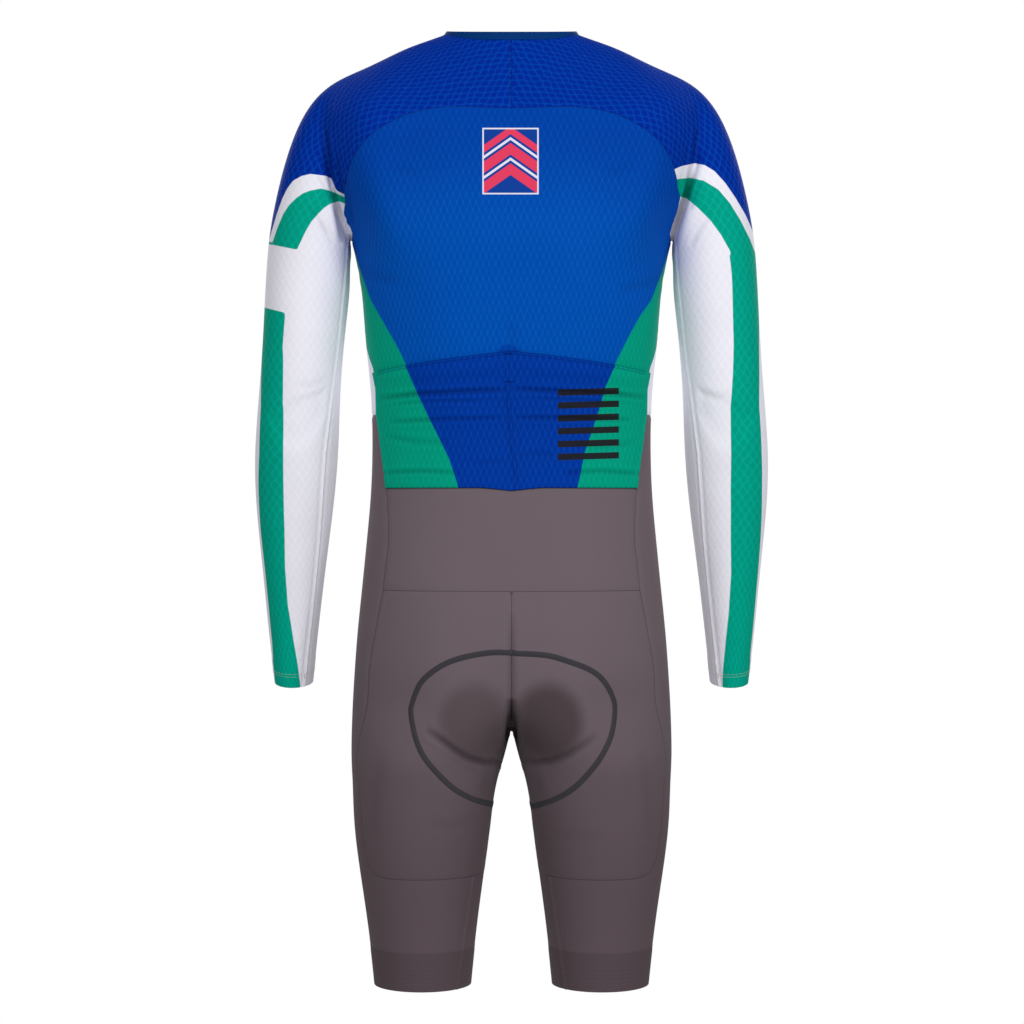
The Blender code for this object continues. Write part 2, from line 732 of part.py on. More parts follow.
def neck_path(form):
    """Return the neck's edge from one side of the zip round to the other, and its normals."""
    loops = boundary_loops(form.polygons)
    neck = max(loops, key=lambda loop: form.points[loop][:, 2].mean())
    front = min(neck, key=lambda number: form.points[number][1])
    start = neck.index(front)
    ordered = neck[start:] + neck[:start + 1]
    path = form.points[ordered].copy()
    end = ZIP_HALF_WIDTH + BINDING_END_GAP
    for tip, beside in ((0, 1), (-1, -2)):
        share = end / abs(path[beside][0])
        path[tip] = path[tip] + share * (path[beside] - path[tip])
    return path, form.normals()[ordered]


def neck_binding(form):
    """Bind the neck: a band that stands on the neck's edge and stops on each side of the zip."""
    path, normals = neck_path(form)
    sections = []
    for place, point in enumerate(path):
        ahead = path[min(place + 1, len(path) - 1)] - path[max(place - 1, 0)]
        rise = np.cross(normals[place], ahead)
        rise = math.copysign(1.0, rise[2]) * rise / np.linalg.norm(rise)
        rise = rise + np.array((0.0, 0.0, BINDING_UPRIGHT))
        rise = rise / np.linalg.norm(rise)
        out = np.cross(ahead, rise)
        out = math.copysign(1.0, out @ normals[place]) * out / np.linalg.norm(out)
        foot = point + BINDING_FOOT * rise
        top = foot + BINDING_HEIGHT * rise
        sections += [foot, top, top - BINDING_WALL * out, foot - BINDING_WALL * out]
    last = 4 * (len(path) - 1)
    faces = [[0, 1, 2, 3], [last + 3, last + 2, last + 1, last]]
    for ring in range(len(path) - 1):
        for corner in range(4):
            a = 4 * ring + corner
            b = 4 * ring + (corner + 1) % 4
            faces.append([b, a, a + 4, b + 4])
    turn_outward(make_object("neck_binding", sections, faces))


def turn_outward(made):
    """Make every face of a closed mesh point out."""
    work = bmesh.new()
    work.from_mesh(made.data)
    bmesh.ops.recalc_face_normals(work, faces=work.faces)
    work.to_mesh(made.data)
    work.free()


# ---------------------------------------------------------------- zip hardware
def zip_frame(form):
    """Frame at the slider: origin on the chain's face, Z out of the chest, Y up the chain."""
    chain = form.points[sorted(form.on("centre"))]
    chain = chain[(chain[:, 1] < CHEST_Y) & (chain[:, 2] > ARMPIT[2])]
    chain = chain[np.argsort(-chain[:, 2])]
    steps = np.linalg.norm(np.diff(chain, axis=0), axis=1)
    run = np.concatenate(([0.0], np.cumsum(steps)))
    place = int(np.searchsorted(run, SLIDER_DROP))
    low, high = chain[place], chain[place - 1]
    across = Vector((1.0, 0.0, 0.0))
    up = Vector(high - low).normalized()
    out = across.cross(up)
    frame = Matrix.Identity(4)
    for column, axis in enumerate((across, up, out)):
        frame.col[column][:3] = axis
    frame.translation = Vector(0.5 * (low + high)) + out * ZIP_LIFT
    return frame


def block_between(low, high):
    """Return a bmesh block between two corners."""
    block = bmesh.new()
    bmesh.ops.create_cube(block, size=1.0)
    low, high = Vector(low), Vector(high)
    place = Matrix.Translation(0.5 * (low + high)) @ Matrix.Diagonal((*(high - low), 1.0))
    block.transform(place)
    return block


def slider_solid(frame):
    """The slider's body, with two cheeks that hold the end of the tab between them."""
    half_across, half_along = 0.5 * SLIDER_SIZE[0], 0.5 * SLIDER_SIZE[1]
    top = SEAM_GAP + SLIDER_SIZE[2]
    body = block_between((-half_across, -half_along, SEAM_GAP), (half_across, half_along, top))
    cheek_x = half_across - CHEEK_WALL
    cheek_y = 0.5 * CHEEK_LENGTH
    for x, y in ((cheek_x, 0.0), (-cheek_x, 0.0), (0.0, cheek_y), (0.0, -cheek_y)):
        geometry = body.verts[:] + body.edges[:] + body.faces[:]
        bmesh.ops.bisect_plane(body, geom=geometry, plane_co=(x, y, 0.0), plane_no=(x, y, 0.0))
    cheeks = []
    for face in body.faces:
        centre = face.calc_center_median()
        if centre.z > top - SEAM_GAP and abs(centre.x) > cheek_x and abs(centre.y) < cheek_y:
            cheeks.append(face)
    grown = bmesh.ops.extrude_discrete_faces(body, faces=cheeks)["faces"]
    raised = {vertex for face in grown for vertex in face.verts}
    rise = Vector((0.0, 0.0, hinge_height() + 0.5 * TAB_SIZE[2] - top))
    bmesh.ops.translate(body, verts=list(raised), vec=rise)
    rim = [edge for edge in body.edges if edge.is_boundary or edge.calc_face_angle(0.0) > SHARP_ANGLE]
    outer = [edge for edge in rim if all(vertex.co.z > SEAM_GAP for vertex in edge.verts)]
    bmesh.ops.bevel(body, geom=outer, offset=0.3 * SLIDER_BEVEL, segments=1, affect="EDGES")
    finish_solid("zip_slider", body, frame)


def tab_solid(frame):
    """The pull tab: a plate that lies down the chain, with its end between the cheeks."""
    width, length, thick = TAB_SIZE
    low = (-0.5 * width, TAB_BACK - length, -0.5 * thick)
    lever = block_between(low, (0.5 * width, TAB_BACK, 0.5 * thick))
    bmesh.ops.bevel(lever, geom=lever.edges, offset=TAB_BEVEL, segments=2, affect="EDGES")
    finish_solid("zip_pull", lever, frame @ Matrix.Translation((0.0, 0.0, hinge_height())))


def hinge_height():
    """Height of the tab's hinge over the chain."""
    return SLIDER_SIZE[2] + 2.0 * SEAM_GAP + 0.5 * TAB_SIZE[2]


def finish_solid(name, block, frame):
    """Turn a bmesh in mm into a named object placed by a frame in mm."""
    block.transform(frame)
    block.verts.index_update()
    points = [vertex.co[:] for vertex in block.verts]
    faces = [[vertex.index for vertex in face.verts] for face in block.faces]
    block.free()
    turn_outward(make_object(name, points, faces))


# ---------------------------------------------------------------- pad relief
def raise_pad(form):
    """Raise the two lobes of the seat pad through the cloth."""
    centre_x, centre_z, half_width, half_height = PAD_LOBE
    reach = np.hypot((np.abs(form.points[:, 0]) - centre_x) / half_width,
                     (form.points[:, 2] - centre_z) / half_height)
    height = PAD_LOBE_HEIGHT * np.clip(1.0 - reach ** 2, 0.0, 1.0) * (form.points[:, 1] > PAD_Y)
    form.points += form.normals() * height[:, None]


# ---------------------------------------------------------------- finishes
Finish = namedtuple("Finish", "name color roughness metallic")
FINISHES = (
    Finish("royal blue knit", (0.0, 0.03, 0.34), 0.7, 0.0),
    Finish("deep blue knit", (0.0, 0.02, 0.26), 0.75, 0.0),
    Finish("white knit", (0.75, 0.75, 0.8), 0.75, 0.0),
    Finish("grey stretch knit", (0.145, 0.115, 0.133), 0.65, 0.0),
    Finish("dark teal binding", (0.0, 0.04, 0.16), 0.7, 0.0),
    Finish("white coil", (0.7, 0.7, 0.72), 0.4, 0.0),
    Finish("dark metal", (0.05, 0.05, 0.055), 0.35, 1.0),
)
FINISH_OF = {
    "back_panel": "royal blue knit",
    "pocket_panel": "royal blue knit",
    "sleeve_left": "deep blue knit",
    "sleeve_right": "deep blue knit",
    "front_left": "white knit",
    "front_right": "white knit",
    "lumbar_panel": "grey stretch knit",
    "seat_left": "grey stretch knit",
    "seat_right": "grey stretch knit",
    "leg_left": "grey stretch knit",
    "leg_right": "grey stretch knit",
    "neck_binding": "dark teal binding",
    "zip_chain": "white coil",
    "zip_slider": "dark metal",
    "zip_pull": "dark metal",
}
MATERIALS = {}


def make_materials():
    """Make each finish as a Principled material."""
    for finish in FINISHES:
        material = bpy.data.materials.new(finish.name)
        material.use_nodes = True
        shader = material.node_tree.nodes["Principled BSDF"]
        shader.inputs["Base Color"].default_value = (*finish.color, 1.0)
        shader.inputs["Roughness"].default_value = finish.roughness
        shader.inputs["Metallic"].default_value = finish.metallic
        MATERIALS[finish.name] = material


# ---------------------------------------------------------------- the suit
def main():
    """Build every piece of the suit."""
    for old in list(bpy.data.objects):
        bpy.data.objects.remove(old)
    make_materials()

    form = fitted_form(build_cage(), FORM_LEVEL)
    raise_pad(form)
    neck_binding(form)
    cut_seams(form)
    centres = form.centres()
    names = piece_names(centres)
    beyond = np.where(is_body(centres), hem_seam(centres), sleeve_seam(centres)) > 0.0
    on_pocket = (names == "back_panel") & (pocket_top(centres) < 0.0)
    origin = form.triangulate()
    names, beyond, on_pocket = names[origin], beyond[origin], on_pocket[origin]
    normals = form.normals()

    for side in ("left", "right"):
        cloth_solid("sleeve_" + side, form, normals, names == "sleeve_" + side,
                    slit="sleeve seam", beyond=beyond)
        cloth_solid("leg_" + side, form, normals, names == "leg_" + side,
                    slit="hem seam", beyond=beyond)
        for piece in ("front_", "seat_"):
            cloth_solid(piece + side, form, normals, names == piece + side)
    for piece in ("back_panel", "lumbar_panel"):
        cloth_solid(piece, form, normals, names == piece)
    cloth_solid("pocket_panel", form, normals, on_pocket, lift=WALL + SEAM_GAP)
    cloth_solid("zip_chain", form, normals, names == "zip_chain", lift=ZIP_LIFT, wall=ZIP_WALL)

    chest = zip_frame(form)
    slider_solid(chest)
    tab_solid(chest)


main()
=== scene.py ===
"""Looks of a long-sleeve cycling skinsuit, filled out as worn, around its fixed frame.

+Z is up, the wearer faces -Y and +X is the wearer's left. Lengths are in millimetres in the
tables and classes, and become metres as each mesh is made. Print edges and creases are drawn in
the view plane: the plane y = 0 as the camera behind the suit sees it.
"""
from __future__ import annotations

import json
import logging
import math
from collections.abc import Callable, Iterable, Sequence
from dataclasses import dataclass, field
from enum import Enum

import bmesh
import bpy
import numpy as np
from mathutils import Matrix, Vector
from mathutils.bvhtree import BVHTree


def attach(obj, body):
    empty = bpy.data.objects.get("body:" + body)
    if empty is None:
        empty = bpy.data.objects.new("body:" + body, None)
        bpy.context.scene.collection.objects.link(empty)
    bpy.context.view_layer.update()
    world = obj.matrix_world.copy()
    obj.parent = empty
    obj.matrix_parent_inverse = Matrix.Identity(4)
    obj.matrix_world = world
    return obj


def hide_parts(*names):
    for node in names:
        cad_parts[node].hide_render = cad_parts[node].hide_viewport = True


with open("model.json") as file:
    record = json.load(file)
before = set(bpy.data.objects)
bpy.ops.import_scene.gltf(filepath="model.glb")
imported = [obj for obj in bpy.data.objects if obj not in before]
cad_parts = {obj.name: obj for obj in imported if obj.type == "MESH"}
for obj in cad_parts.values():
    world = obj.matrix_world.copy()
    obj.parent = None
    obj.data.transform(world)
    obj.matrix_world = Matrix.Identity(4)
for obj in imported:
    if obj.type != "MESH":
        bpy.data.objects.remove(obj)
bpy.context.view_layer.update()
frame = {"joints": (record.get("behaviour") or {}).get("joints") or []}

log = logging.getLogger("skinsuit")

MM = 0.001
CHART_UNIT = 100.0  # mm of cloth to one unit of its UV map
CLOTH_SHARP = math.radians(60.0)
METAL_SHARP = math.radians(35.0)
METAL_EDGE = math.radians(28.0)
SUIT = "suit"
PULL_TAB = "pull_tab"

Point2 = tuple[float, float]
Points = np.ndarray
Field = Callable[[np.ndarray], np.ndarray]


class Side(Enum):
    """Which way a stretch of cloth faces."""

    BACK = 1.0
    FRONT = -1.0


class Half(Enum):
    """Which half of the suit a thing is on, by the sign of x."""

    LEFT = 1.0
    RIGHT = -1.0
    BOTH = 0.0


class Finish(Enum):
    """The record's material slots."""

    JERSEY = "jersey_knit"
    RAGLAN = "raglan_knit"
    FRONT = "front_knit"
    STRETCH = "stretch_knit"
    BINDING = "binding_tape"
    COIL = "zip_coil"
    METAL = "zip_metal"


# ---------------------------------------------------------------- view plane
@dataclass(frozen=True)
class Studio:
    """The camera behind the suit; sizes in mm."""

    distance: float = 3000.0
    eye_x: float = -0.5
    eye_z: float = -455.2
    frame_width: float = 1054.7
    sensor: float = 36.0

    def plane(self, places: Points) -> tuple[np.ndarray, np.ndarray]:
        """Return x and z where the sight lines through points meet the plane y = 0.

        Points on the front are seen as if from in front, so that both sides match.
        """
        scale = 1.0 / (1.0 - np.abs(places[:, 1]) / self.distance)
        return places[:, 0] * scale, self.eye_z + (places[:, 2] - self.eye_z) * scale

    def add_camera(self) -> None:
        """Add the camera and make it the scene's."""
        data = bpy.data.cameras.new("camera")
        data.sensor_width = self.sensor
        data.lens = self.sensor * self.distance / self.frame_width
        eye = bpy.data.objects.new("camera", data)
        eye.location = (self.eye_x * MM, self.distance * MM, self.eye_z * MM)
        eye.rotation_euler = (math.radians(90.0), 0.0, math.radians(180.0))
        bpy.context.scene.collection.objects.link(eye)
        bpy.context.scene.camera = eye


STUDIO = Studio()


# ---------------------------------------------------------------- sections of the suit
@dataclass(frozen=True)
class TorsoRing:
    """Ring of the torso: half width, depths from the side line, hollows of the centre lines."""

    z: float
    half_width: float
    back: float
    front: float
    back_hollow: float
    front_hollow: float
    square: float


@dataclass(frozen=True)
class YokeRing:
    """Half ring above the armpit, which ends on the armhole."""

    z: float
    edge_z: float
    edge_x: float
    edge_back: float
    edge_front: float
    back: float
    front: float
    square: float


@dataclass(frozen=True)
class ShoulderColumn:
    """Three points across the shoulder, from back to front."""

    column: int
    back: tuple[float, float, float]
    ridge: tuple[float, float, float]
    front: tuple[float, float, float]


@dataclass(frozen=True)
class SleeveRing:
    """Ring of a sleeve: inner and outer end, centre y, half depth, slope from front to back."""

    inner_x: float
    inner_z: float
    outer_x: float
    outer_z: float
    y: float
    half_depth: float
    slope: float


@dataclass(frozen=True)
class LegRing:
    """Ring of a leg: inner and outer x, back and front y."""

    z: float
    inner: float
    outer: float
    back: float
    front: float


TORSO = (
    TorsoRing(-215.0, 156.0, 108.0, -117.0, 3.0, 2.0, 2.30),
    TorsoRing(-250.0, 152.0, 103.0, -115.0, 3.0, 2.0, 2.30),
    TorsoRing(-290.0, 148.8, 97.0, -111.0, 3.0, 1.0, 2.25),
    TorsoRing(-335.0, 144.6, 91.0, -106.0, 3.0, 0.0, 2.20),
    TorsoRing(-385.0, 143.2, 88.0, -102.0, 2.0, 0.0, 2.20),
    TorsoRing(-435.0, 144.7, 91.0, -101.0, 1.0, 0.0, 2.20),
    TorsoRing(-485.0, 149.0, 101.0, -101.0, 1.0, 0.0, 2.20),
    TorsoRing(-535.0, 154.0, 112.0, -100.0, 1.0, 0.0, 2.20),
    TorsoRing(-580.0, 158.5, 118.0, -98.0, 3.0, 0.0, 2.20),
    TorsoRing(-620.0, 161.5, 118.0, -94.0, 8.0, 2.0, 2.20),
    TorsoRing(-655.0, 163.5, 113.0, -89.0, 17.0, 9.0, 2.20),
)
YOKE = (
    YokeRing(-42.0, -45.0, 187.0, 38.0, -38.0, 92.0, -84.0, 2.4),
    YokeRing(-88.0, -88.0, 187.5, 46.0, -46.0, 104.0, -103.0, 2.4),
    YokeRing(-132.0, -135.0, 177.0, 34.0, -34.0, 108.0, -113.0, 2.4),
    YokeRing(-178.0, -171.0, 163.0, 26.0, -26.0, 110.0, -116.0, 2.4),
)
YOKE_SPREAD = (0.0, 0.31, 0.59, 0.82, 1.0)
SHOULDER = (
    ShoulderColumn(1, (47.0, 46.0, 26.5), (69.0, 6.0, 34.0), (57.0, -34.0, 14.0)),
    ShoulderColumn(2, (105.0, 31.0, 12.0), (107.0, 0.0, 20.3), (105.0, -31.0, 9.0)),
    ShoulderColumn(3, (148.0, 28.0, -7.0), (148.0, 0.0, 2.2), (148.0, -28.0, -9.0)),
    ShoulderColumn(4, (186.0, 20.0, -23.0), (185.0, 0.0, -16.0), (186.0, -20.0, -25.0)),
)
SLEEVE = (
    SleeveRing(165.5, -188.0, 212.5, -46.0, 2.0, 47.0, 0.00),
    SleeveRing(166.0, -200.0, 231.0, -91.0, 3.0, 50.0, 0.00),
    SleeveRing(166.3, -216.0, 243.0, -139.0, 4.0, 50.0, 0.00),
    SleeveRing(167.5, -238.0, 250.5, -190.0, 5.0, 49.0, 0.00),
    SleeveRing(172.0, -280.0, 254.8, -265.0, 5.0, 47.0, 0.00),
    SleeveRing(176.2, -335.0, 259.3, -330.0, 3.0, 45.0, 0.03),
    SleeveRing(179.0, -395.0, 264.2, -395.0, -4.0, 44.0, 0.10),
    SleeveRing(185.0, -455.0, 263.1, -455.0, -14.0, 41.0, 0.16),
    SleeveRing(193.3, -515.0, 258.2, -515.0, -26.0, 37.0, 0.20),
    SleeveRing(201.2, -576.0, 253.2, -576.0, -38.0, 32.0, 0.20),
    SleeveRing(207.8, -632.0, 247.5, -632.0, -48.0, 28.0, 0.20),
)
LEG = (
    LegRing(-700.0, 6.0, 164.3, 103.0, -88.0),
    LegRing(-735.0, 15.7, 163.3, 93.0, -88.0),
    LegRing(-780.0, 22.2, 161.5, 80.0, -87.0),
    LegRing(-834.0, 29.4, 155.0, 67.0, -84.0),
    LegRing(-888.0, 36.4, 147.5, 56.0, -80.0),
    LegRing(-942.0, 42.0, 141.6, 49.0, -77.0),
)


@dataclass
class SuitCage:
    """Control points of the half x >= 0 by name, and the quads between them."""

    back_neck: tuple[float, float, float] = (0.0, 60.0, 22.8)
    front_neck: tuple[float, float, float] = (0.0, -76.0, -38.0)
    side_front_neck: tuple[float, float, float] = (38.0, -64.0, -18.0)
    armpit: tuple[float, float, float] = (164.5, 0.0, -177.0)
    crotch: tuple[tuple[float, float, float], ...] = (
        (0.0, -40.0, -674.0), (0.0, 8.0, -681.0), (0.0, 57.0, -675.0))
    columns: int = 10
    side: int = 5
    sleeve_columns: int = 12
    leg_columns: int = 14
    points: dict = field(default_factory=dict)
    quads: list = field(default_factory=list)

    def torso_point(self, ring: TorsoRing, column: int) -> tuple[float, float, float]:
        """Return a torso ring's point, column 0 at the centre back and 10 at the centre front."""
        angle = math.pi * column / self.columns
        power = 2.0 / ring.square
        depth = ring.back if column <= self.side else ring.front
        x = ring.half_width * math.sin(angle) ** power
        y = depth * abs(math.cos(angle)) ** power
        if column in (0, self.columns):
            x = 0.0
            y -= math.copysign(ring.back_hollow if column == 0 else ring.front_hollow, depth)
        return (x, y, ring.z)

    def yoke_point(self, ring: YokeRing, column: int) -> tuple[float, float, float]:
        """Return a yoke ring's point; columns 4 and 6 lie on the armhole."""
        back = column < self.side
        share = YOKE_SPREAD[column if back else self.columns - column]
        edge_y = ring.edge_back if back else ring.edge_front
        centre_y = ring.back if back else ring.front
        bulge = (1.0 - share ** ring.square) ** (1.0 / ring.square)
        z = ring.z + (ring.edge_z - ring.z) * share ** 2
        return (ring.edge_x * share, edge_y + (centre_y - edge_y) * bulge, z)

    def sleeve_point(self, ring: SleeveRing, column: int) -> tuple[float, float, float]:
        """Return a sleeve ring's point: 0 on the inner line, 3 at the back, 6 on the outer."""
        angle = 2.0 * math.pi * column / self.sleeve_columns
        share = 0.5 - 0.5 * math.cos(angle)
        depth = ring.half_depth * math.sin(angle)
        x = ring.inner_x + (ring.outer_x - ring.inner_x) * share
        z = ring.inner_z + (ring.outer_z - ring.inner_z) * share
        return (x, ring.y + depth, z - ring.slope * depth)

    def leg_point(self, ring: LegRing, column: int) -> tuple[float, float, float]:
        """Return a leg ring's point: 5 on the outer line, 0 at the inner back, 12 innermost."""
        angle = 2.0 * math.pi * (self.side - column) / self.leg_columns
        half_width = 0.5 * (ring.outer - ring.inner)
        half_depth = 0.5 * (ring.back - ring.front)
        x = ring.inner + half_width * (1.0 + math.cos(angle))
        y = ring.front + half_depth * (1.0 + math.sin(angle))
        return (x, y, ring.z)

    def strip(self, upper: Sequence, lower: Sequence) -> None:
        """Join two rows of names, point by point, with quads."""
        for i in range(len(upper) - 1):
            self.quads.append((upper[i], upper[i + 1], lower[i + 1], lower[i]))

    def limb(self, name: str, top: Sequence, rings: Sequence, point_of: Callable) -> None:
        """Add a tube of rings under a closed loop of names."""
        loop = list(top)
        for row, ring in enumerate(rings):
            names = [(name, row, column) for column in range(len(top))]
            for key in names:
                self.points[key] = point_of(ring, key[2])
            self.strip([*loop, loop[0]], [*names, names[0]])
            loop = names

    def lay_out(self) -> None:
        """Place every control point and join them."""
        columns = range(self.columns + 1)
        back, front = range(self.side), range(self.side + 1, self.columns + 1)
        for row, ring in enumerate(YOKE):
            for column in (*back, *front):
                self.points["yoke", row, column] = self.yoke_point(ring, column)
        self.points["yoke", 0, self.columns] = self.front_neck
        self.points["yoke", 0, self.columns - 1] = self.side_front_neck
        low = len(YOKE) - 1
        self.points["yoke", low, self.side] = self.armpit
        self.points["top", 0] = self.back_neck
        for shoulder in SHOULDER:
            self.points["top", shoulder.column] = shoulder.back
            self.points["ridge", shoulder.column] = shoulder.ridge
            self.points["top", self.columns - shoulder.column] = shoulder.front
        for row, ring in enumerate(TORSO):
            for column in columns:
                self.points["torso", row, column] = self.torso_point(ring, column)

        def yoke_row(row: int, span: Iterable[int]) -> list:
            """Name the points of a yoke ring."""
            return [("yoke", row, column) for column in span]

        for row in range(low):
            self.strip(yoke_row(row, back), yoke_row(row + 1, back))
            self.strip(yoke_row(row, front), yoke_row(row + 1, front))
        self.strip([("top", column) for column in back], yoke_row(0, back))
        before = range(self.side + 1, self.columns)
        self.strip([("top", column) for column in before], yoke_row(0, before))
        ridge = [("ridge", column) for column in range(1, self.side)]
        self.strip(ridge, [("top", column) for column in range(1, self.side)])
        self.strip([("top", self.columns - column) for column in range(1, self.side)], ridge)
        rows = [yoke_row(low, columns)]
        rows += [[("torso", row, column) for column in columns] for row in range(len(TORSO))]
        for upper, lower in zip(rows, rows[1:]):
            self.strip(upper, lower)
        back_edge = [("yoke", row, self.side - 1) for row in reversed(range(len(YOKE)))]
        front_edge = [("yoke", row, self.side + 1) for row in range(len(YOKE))]
        armhole = [("yoke", low, self.side), *back_edge, ("top", self.side - 1),
                   ("ridge", self.side - 1), ("top", self.side + 1), *front_edge]
        self.limb("sleeve", armhole, SLEEVE, self.sleeve_point)
        leg_top = list(rows[-1])
        for place, point in enumerate(self.crotch):
            self.points["crotch", place] = point
            leg_top.append(("crotch", place))
        self.limb("leg", leg_top, LEG, self.leg_point)

    def whole(self) -> tuple[Points, list[list[int]]]:
        """Return the points and quads of both halves."""
        number = {}
        points = []
        for mirrored in (False, True):
            for name, (x, y, z) in self.points.items():
                if mirrored and x == 0.0:
                    number[name, True] = number[name, False]
                else:
                    number[name, mirrored] = len(points)
                    points.append((-x if mirrored else x, y, z))
        quads = [[number[name, False] for name in quad] for quad in self.quads]
        quads += [[number[name, True] for name in reversed(quad)] for quad in self.quads]
        return np.array(points), quads


def subdivide(points: Points, quads: list[list[int]], level: int) -> tuple[Points, np.ndarray]:
    """Return the points and quads of a cage's limit surface; the cage's own points come first."""
    mesh = bpy.data.meshes.new("form")
    mesh.from_pydata(points.tolist(), [], quads)
    form = bpy.data.objects.new("form", mesh)
    bpy.context.scene.collection.objects.link(form)
    smooth = form.modifiers.new("smooth", "SUBSURF")
    smooth.levels = level
    smooth.render_levels = level
    smooth.use_limit_surface = True
    result = form.evaluated_get(bpy.context.evaluated_depsgraph_get()).to_mesh()
    fine = np.empty(3 * len(result.vertices))
    result.vertices.foreach_get("co", fine)
    corners = np.empty(len(result.loops), dtype=np.int64)
    result.loops.foreach_get("vertex_index", corners)
    bpy.data.objects.remove(form)
    bpy.data.meshes.remove(mesh)
    return fine.reshape(-1, 3), corners.reshape(-1, 4)


@dataclass
class SmoothForm:
    """The suit's smooth form: its limit surface passes through the sections' points."""

    passes: int = 14
    pad_lobe: tuple[float, float, float, float] = (38.0, -666.0, 37.0, 42.0)
    pad_height: float = 3.0
    pad_y: float = 20.0
    control: Points = field(init=False)
    quads: list = field(init=False)

    def __post_init__(self) -> None:
        """Fit the cage once; every level is made from it."""
        cage = SuitCage()
        cage.lay_out()
        target, self.quads = cage.whole()
        self.control = target.copy()
        for _ in range(self.passes):
            reached, _corners = subdivide(self.control, self.quads, 1)
            self.control += target - reached[:len(target)]
            self.control[target[:, 0] == 0.0, 0] = 0.0

    def at_level(self, level: int) -> tuple[Points, np.ndarray]:
        """Return points and quads at a level, with the pad's lobes raised."""
        points, quads = subdivide(self.control, self.quads, level)
        points[np.abs(points[:, 0]) < 0.01, 0] = 0.0
        centre_x, centre_z, half_width, half_height = self.pad_lobe
        reach = np.hypot((np.abs(points[:, 0]) - centre_x) / half_width,
                         (points[:, 2] - centre_z) / half_height)
        height = self.pad_height * np.clip(1.0 - reach ** 2, 0.0, 1.0)
        height *= points[:, 1] > self.pad_y
        return points + vertex_normals(points, quads.tolist()) * height[:, None], quads


def vertex_normals(points: Points, faces: list[list[int]]) -> Points:
    """Return the outward normal at each point."""
    mesh = bpy.data.meshes.new("normals")
    mesh.from_pydata(points.tolist(), [], faces)
    normals = np.empty(3 * len(points))
    mesh.vertex_normals.foreach_get("vector", normals)
    bpy.data.meshes.remove(mesh)
    return normals.reshape(-1, 3)


def run_along(line: Points) -> np.ndarray:
    """Return how far along a line each of its points lies."""
    return np.concatenate(([0.0], np.cumsum(np.linalg.norm(np.diff(line, axis=0), axis=1))))


def resampled(line: Points, far: np.ndarray, count: int) -> Points:
    """Return evenly spaced places on a line whose points lie at known distances along it."""
    at = np.linspace(0.0, far[-1], count)
    return np.stack([np.interp(at, far, column) for column in line.T], axis=1)


def smooth_line(marks: Sequence, step: float, closed: bool = False, parts: int = 24) -> Points:
    """Lay a smooth line through marks.

    Args:
        marks: places in two or three dimensions.
        step: the distance between the places that are returned.
        closed: whether the line comes back to its start.
        parts: straight parts between two marks.

    Returns:
        Places along the line.
    """
    corners = np.array(marks, dtype=float)
    if closed:
        corners = np.concatenate((corners[-1:], corners, corners[:2]))
    else:
        corners = np.concatenate((2.0 * corners[:1] - corners[1:2], corners,
                                  2.0 * corners[-1:] - corners[-2:-1]))
    share = np.linspace(0.0, 1.0, parts, endpoint=False)[:, None]
    runs = [b + 0.5 * share * (c - a + share * (2 * a - 5 * b + 4 * c - d
                                                + share * (3 * b - a - 3 * c + d)))
            for a, b, c, d in zip(corners, corners[1:], corners[2:], corners[3:])]
    line = np.concatenate((*runs, corners[-2:-1]))
    far = run_along(line)
    return resampled(line, far, max(2, round(far[-1] / step) + 1))


# ---------------------------------------------------------------- seams
RAGLAN_BACK = ((-60.0, -52.0), (0.0, -52.0), (65.0, -50.5), (102.0, -57.0), (120.0, -65.5),
               (136.5, -75.0), (151.0, -88.0), (161.5, -103.0), (167.5, -120.0), (171.0, -136.0))
RAGLAN_FRONT = ((-60.0, -112.0), (0.0, -112.0), (60.0, -106.0), (105.0, -104.0), (140.0, -110.0),
                (160.0, -123.0), (171.0, -138.0))
UNDERARM = ((170.5, -151.0), (163.0, -171.0), (164.5, -177.0), (162.0, -190.0), (161.5, -215.0),
            (161.5, -320.0), (185.0, -600.0), (190.0, -1000.0), (-60.0, -1000.0))
BACK_OUTLINE = np.concatenate((smooth_line(RAGLAN_BACK, 7.0), UNDERARM))
FRONT_OUTLINE = np.concatenate((smooth_line(RAGLAN_FRONT, 7.0), UNDERARM))


def to_stretch(x: np.ndarray, z: np.ndarray, start: Point2,
               end: Point2) -> tuple[np.ndarray, np.ndarray]:
    """Return where on a straight stretch, from 0 to 1, places are nearest to it, and their gaps."""
    (x0, z0), (x1, z1) = start, end
    run = ((x - x0) * (x1 - x0) + (z - z0) * (z1 - z0)) / ((x1 - x0) ** 2 + (z1 - z0) ** 2)
    run = np.clip(run, 0.0, 1.0)
    return run, np.hypot(x - x0 - run * (x1 - x0), z - z0 - run * (z1 - z0))


def outline_distance(x: np.ndarray, z: np.ndarray,
                     corners: Sequence[Point2] | Points) -> np.ndarray:
    """Return the distance to a closed outline in the x-z plane, below zero inside it."""
    nearest = np.full(len(x), np.inf)
    inside = np.zeros(len(x), dtype=bool)
    for start, end in zip(corners, np.roll(corners, -1, axis=0)):
        nearest = np.minimum(nearest, to_stretch(x, z, start, end)[1])
        (x0, z0), (x1, z1) = start, end
        if z0 != z1:
            crosses = (z0 > z) != (z1 > z)
            inside ^= crosses & (x < x0 + (z - z0) * (x1 - x0) / (z1 - z0))
    return np.where(inside, -nearest, nearest)


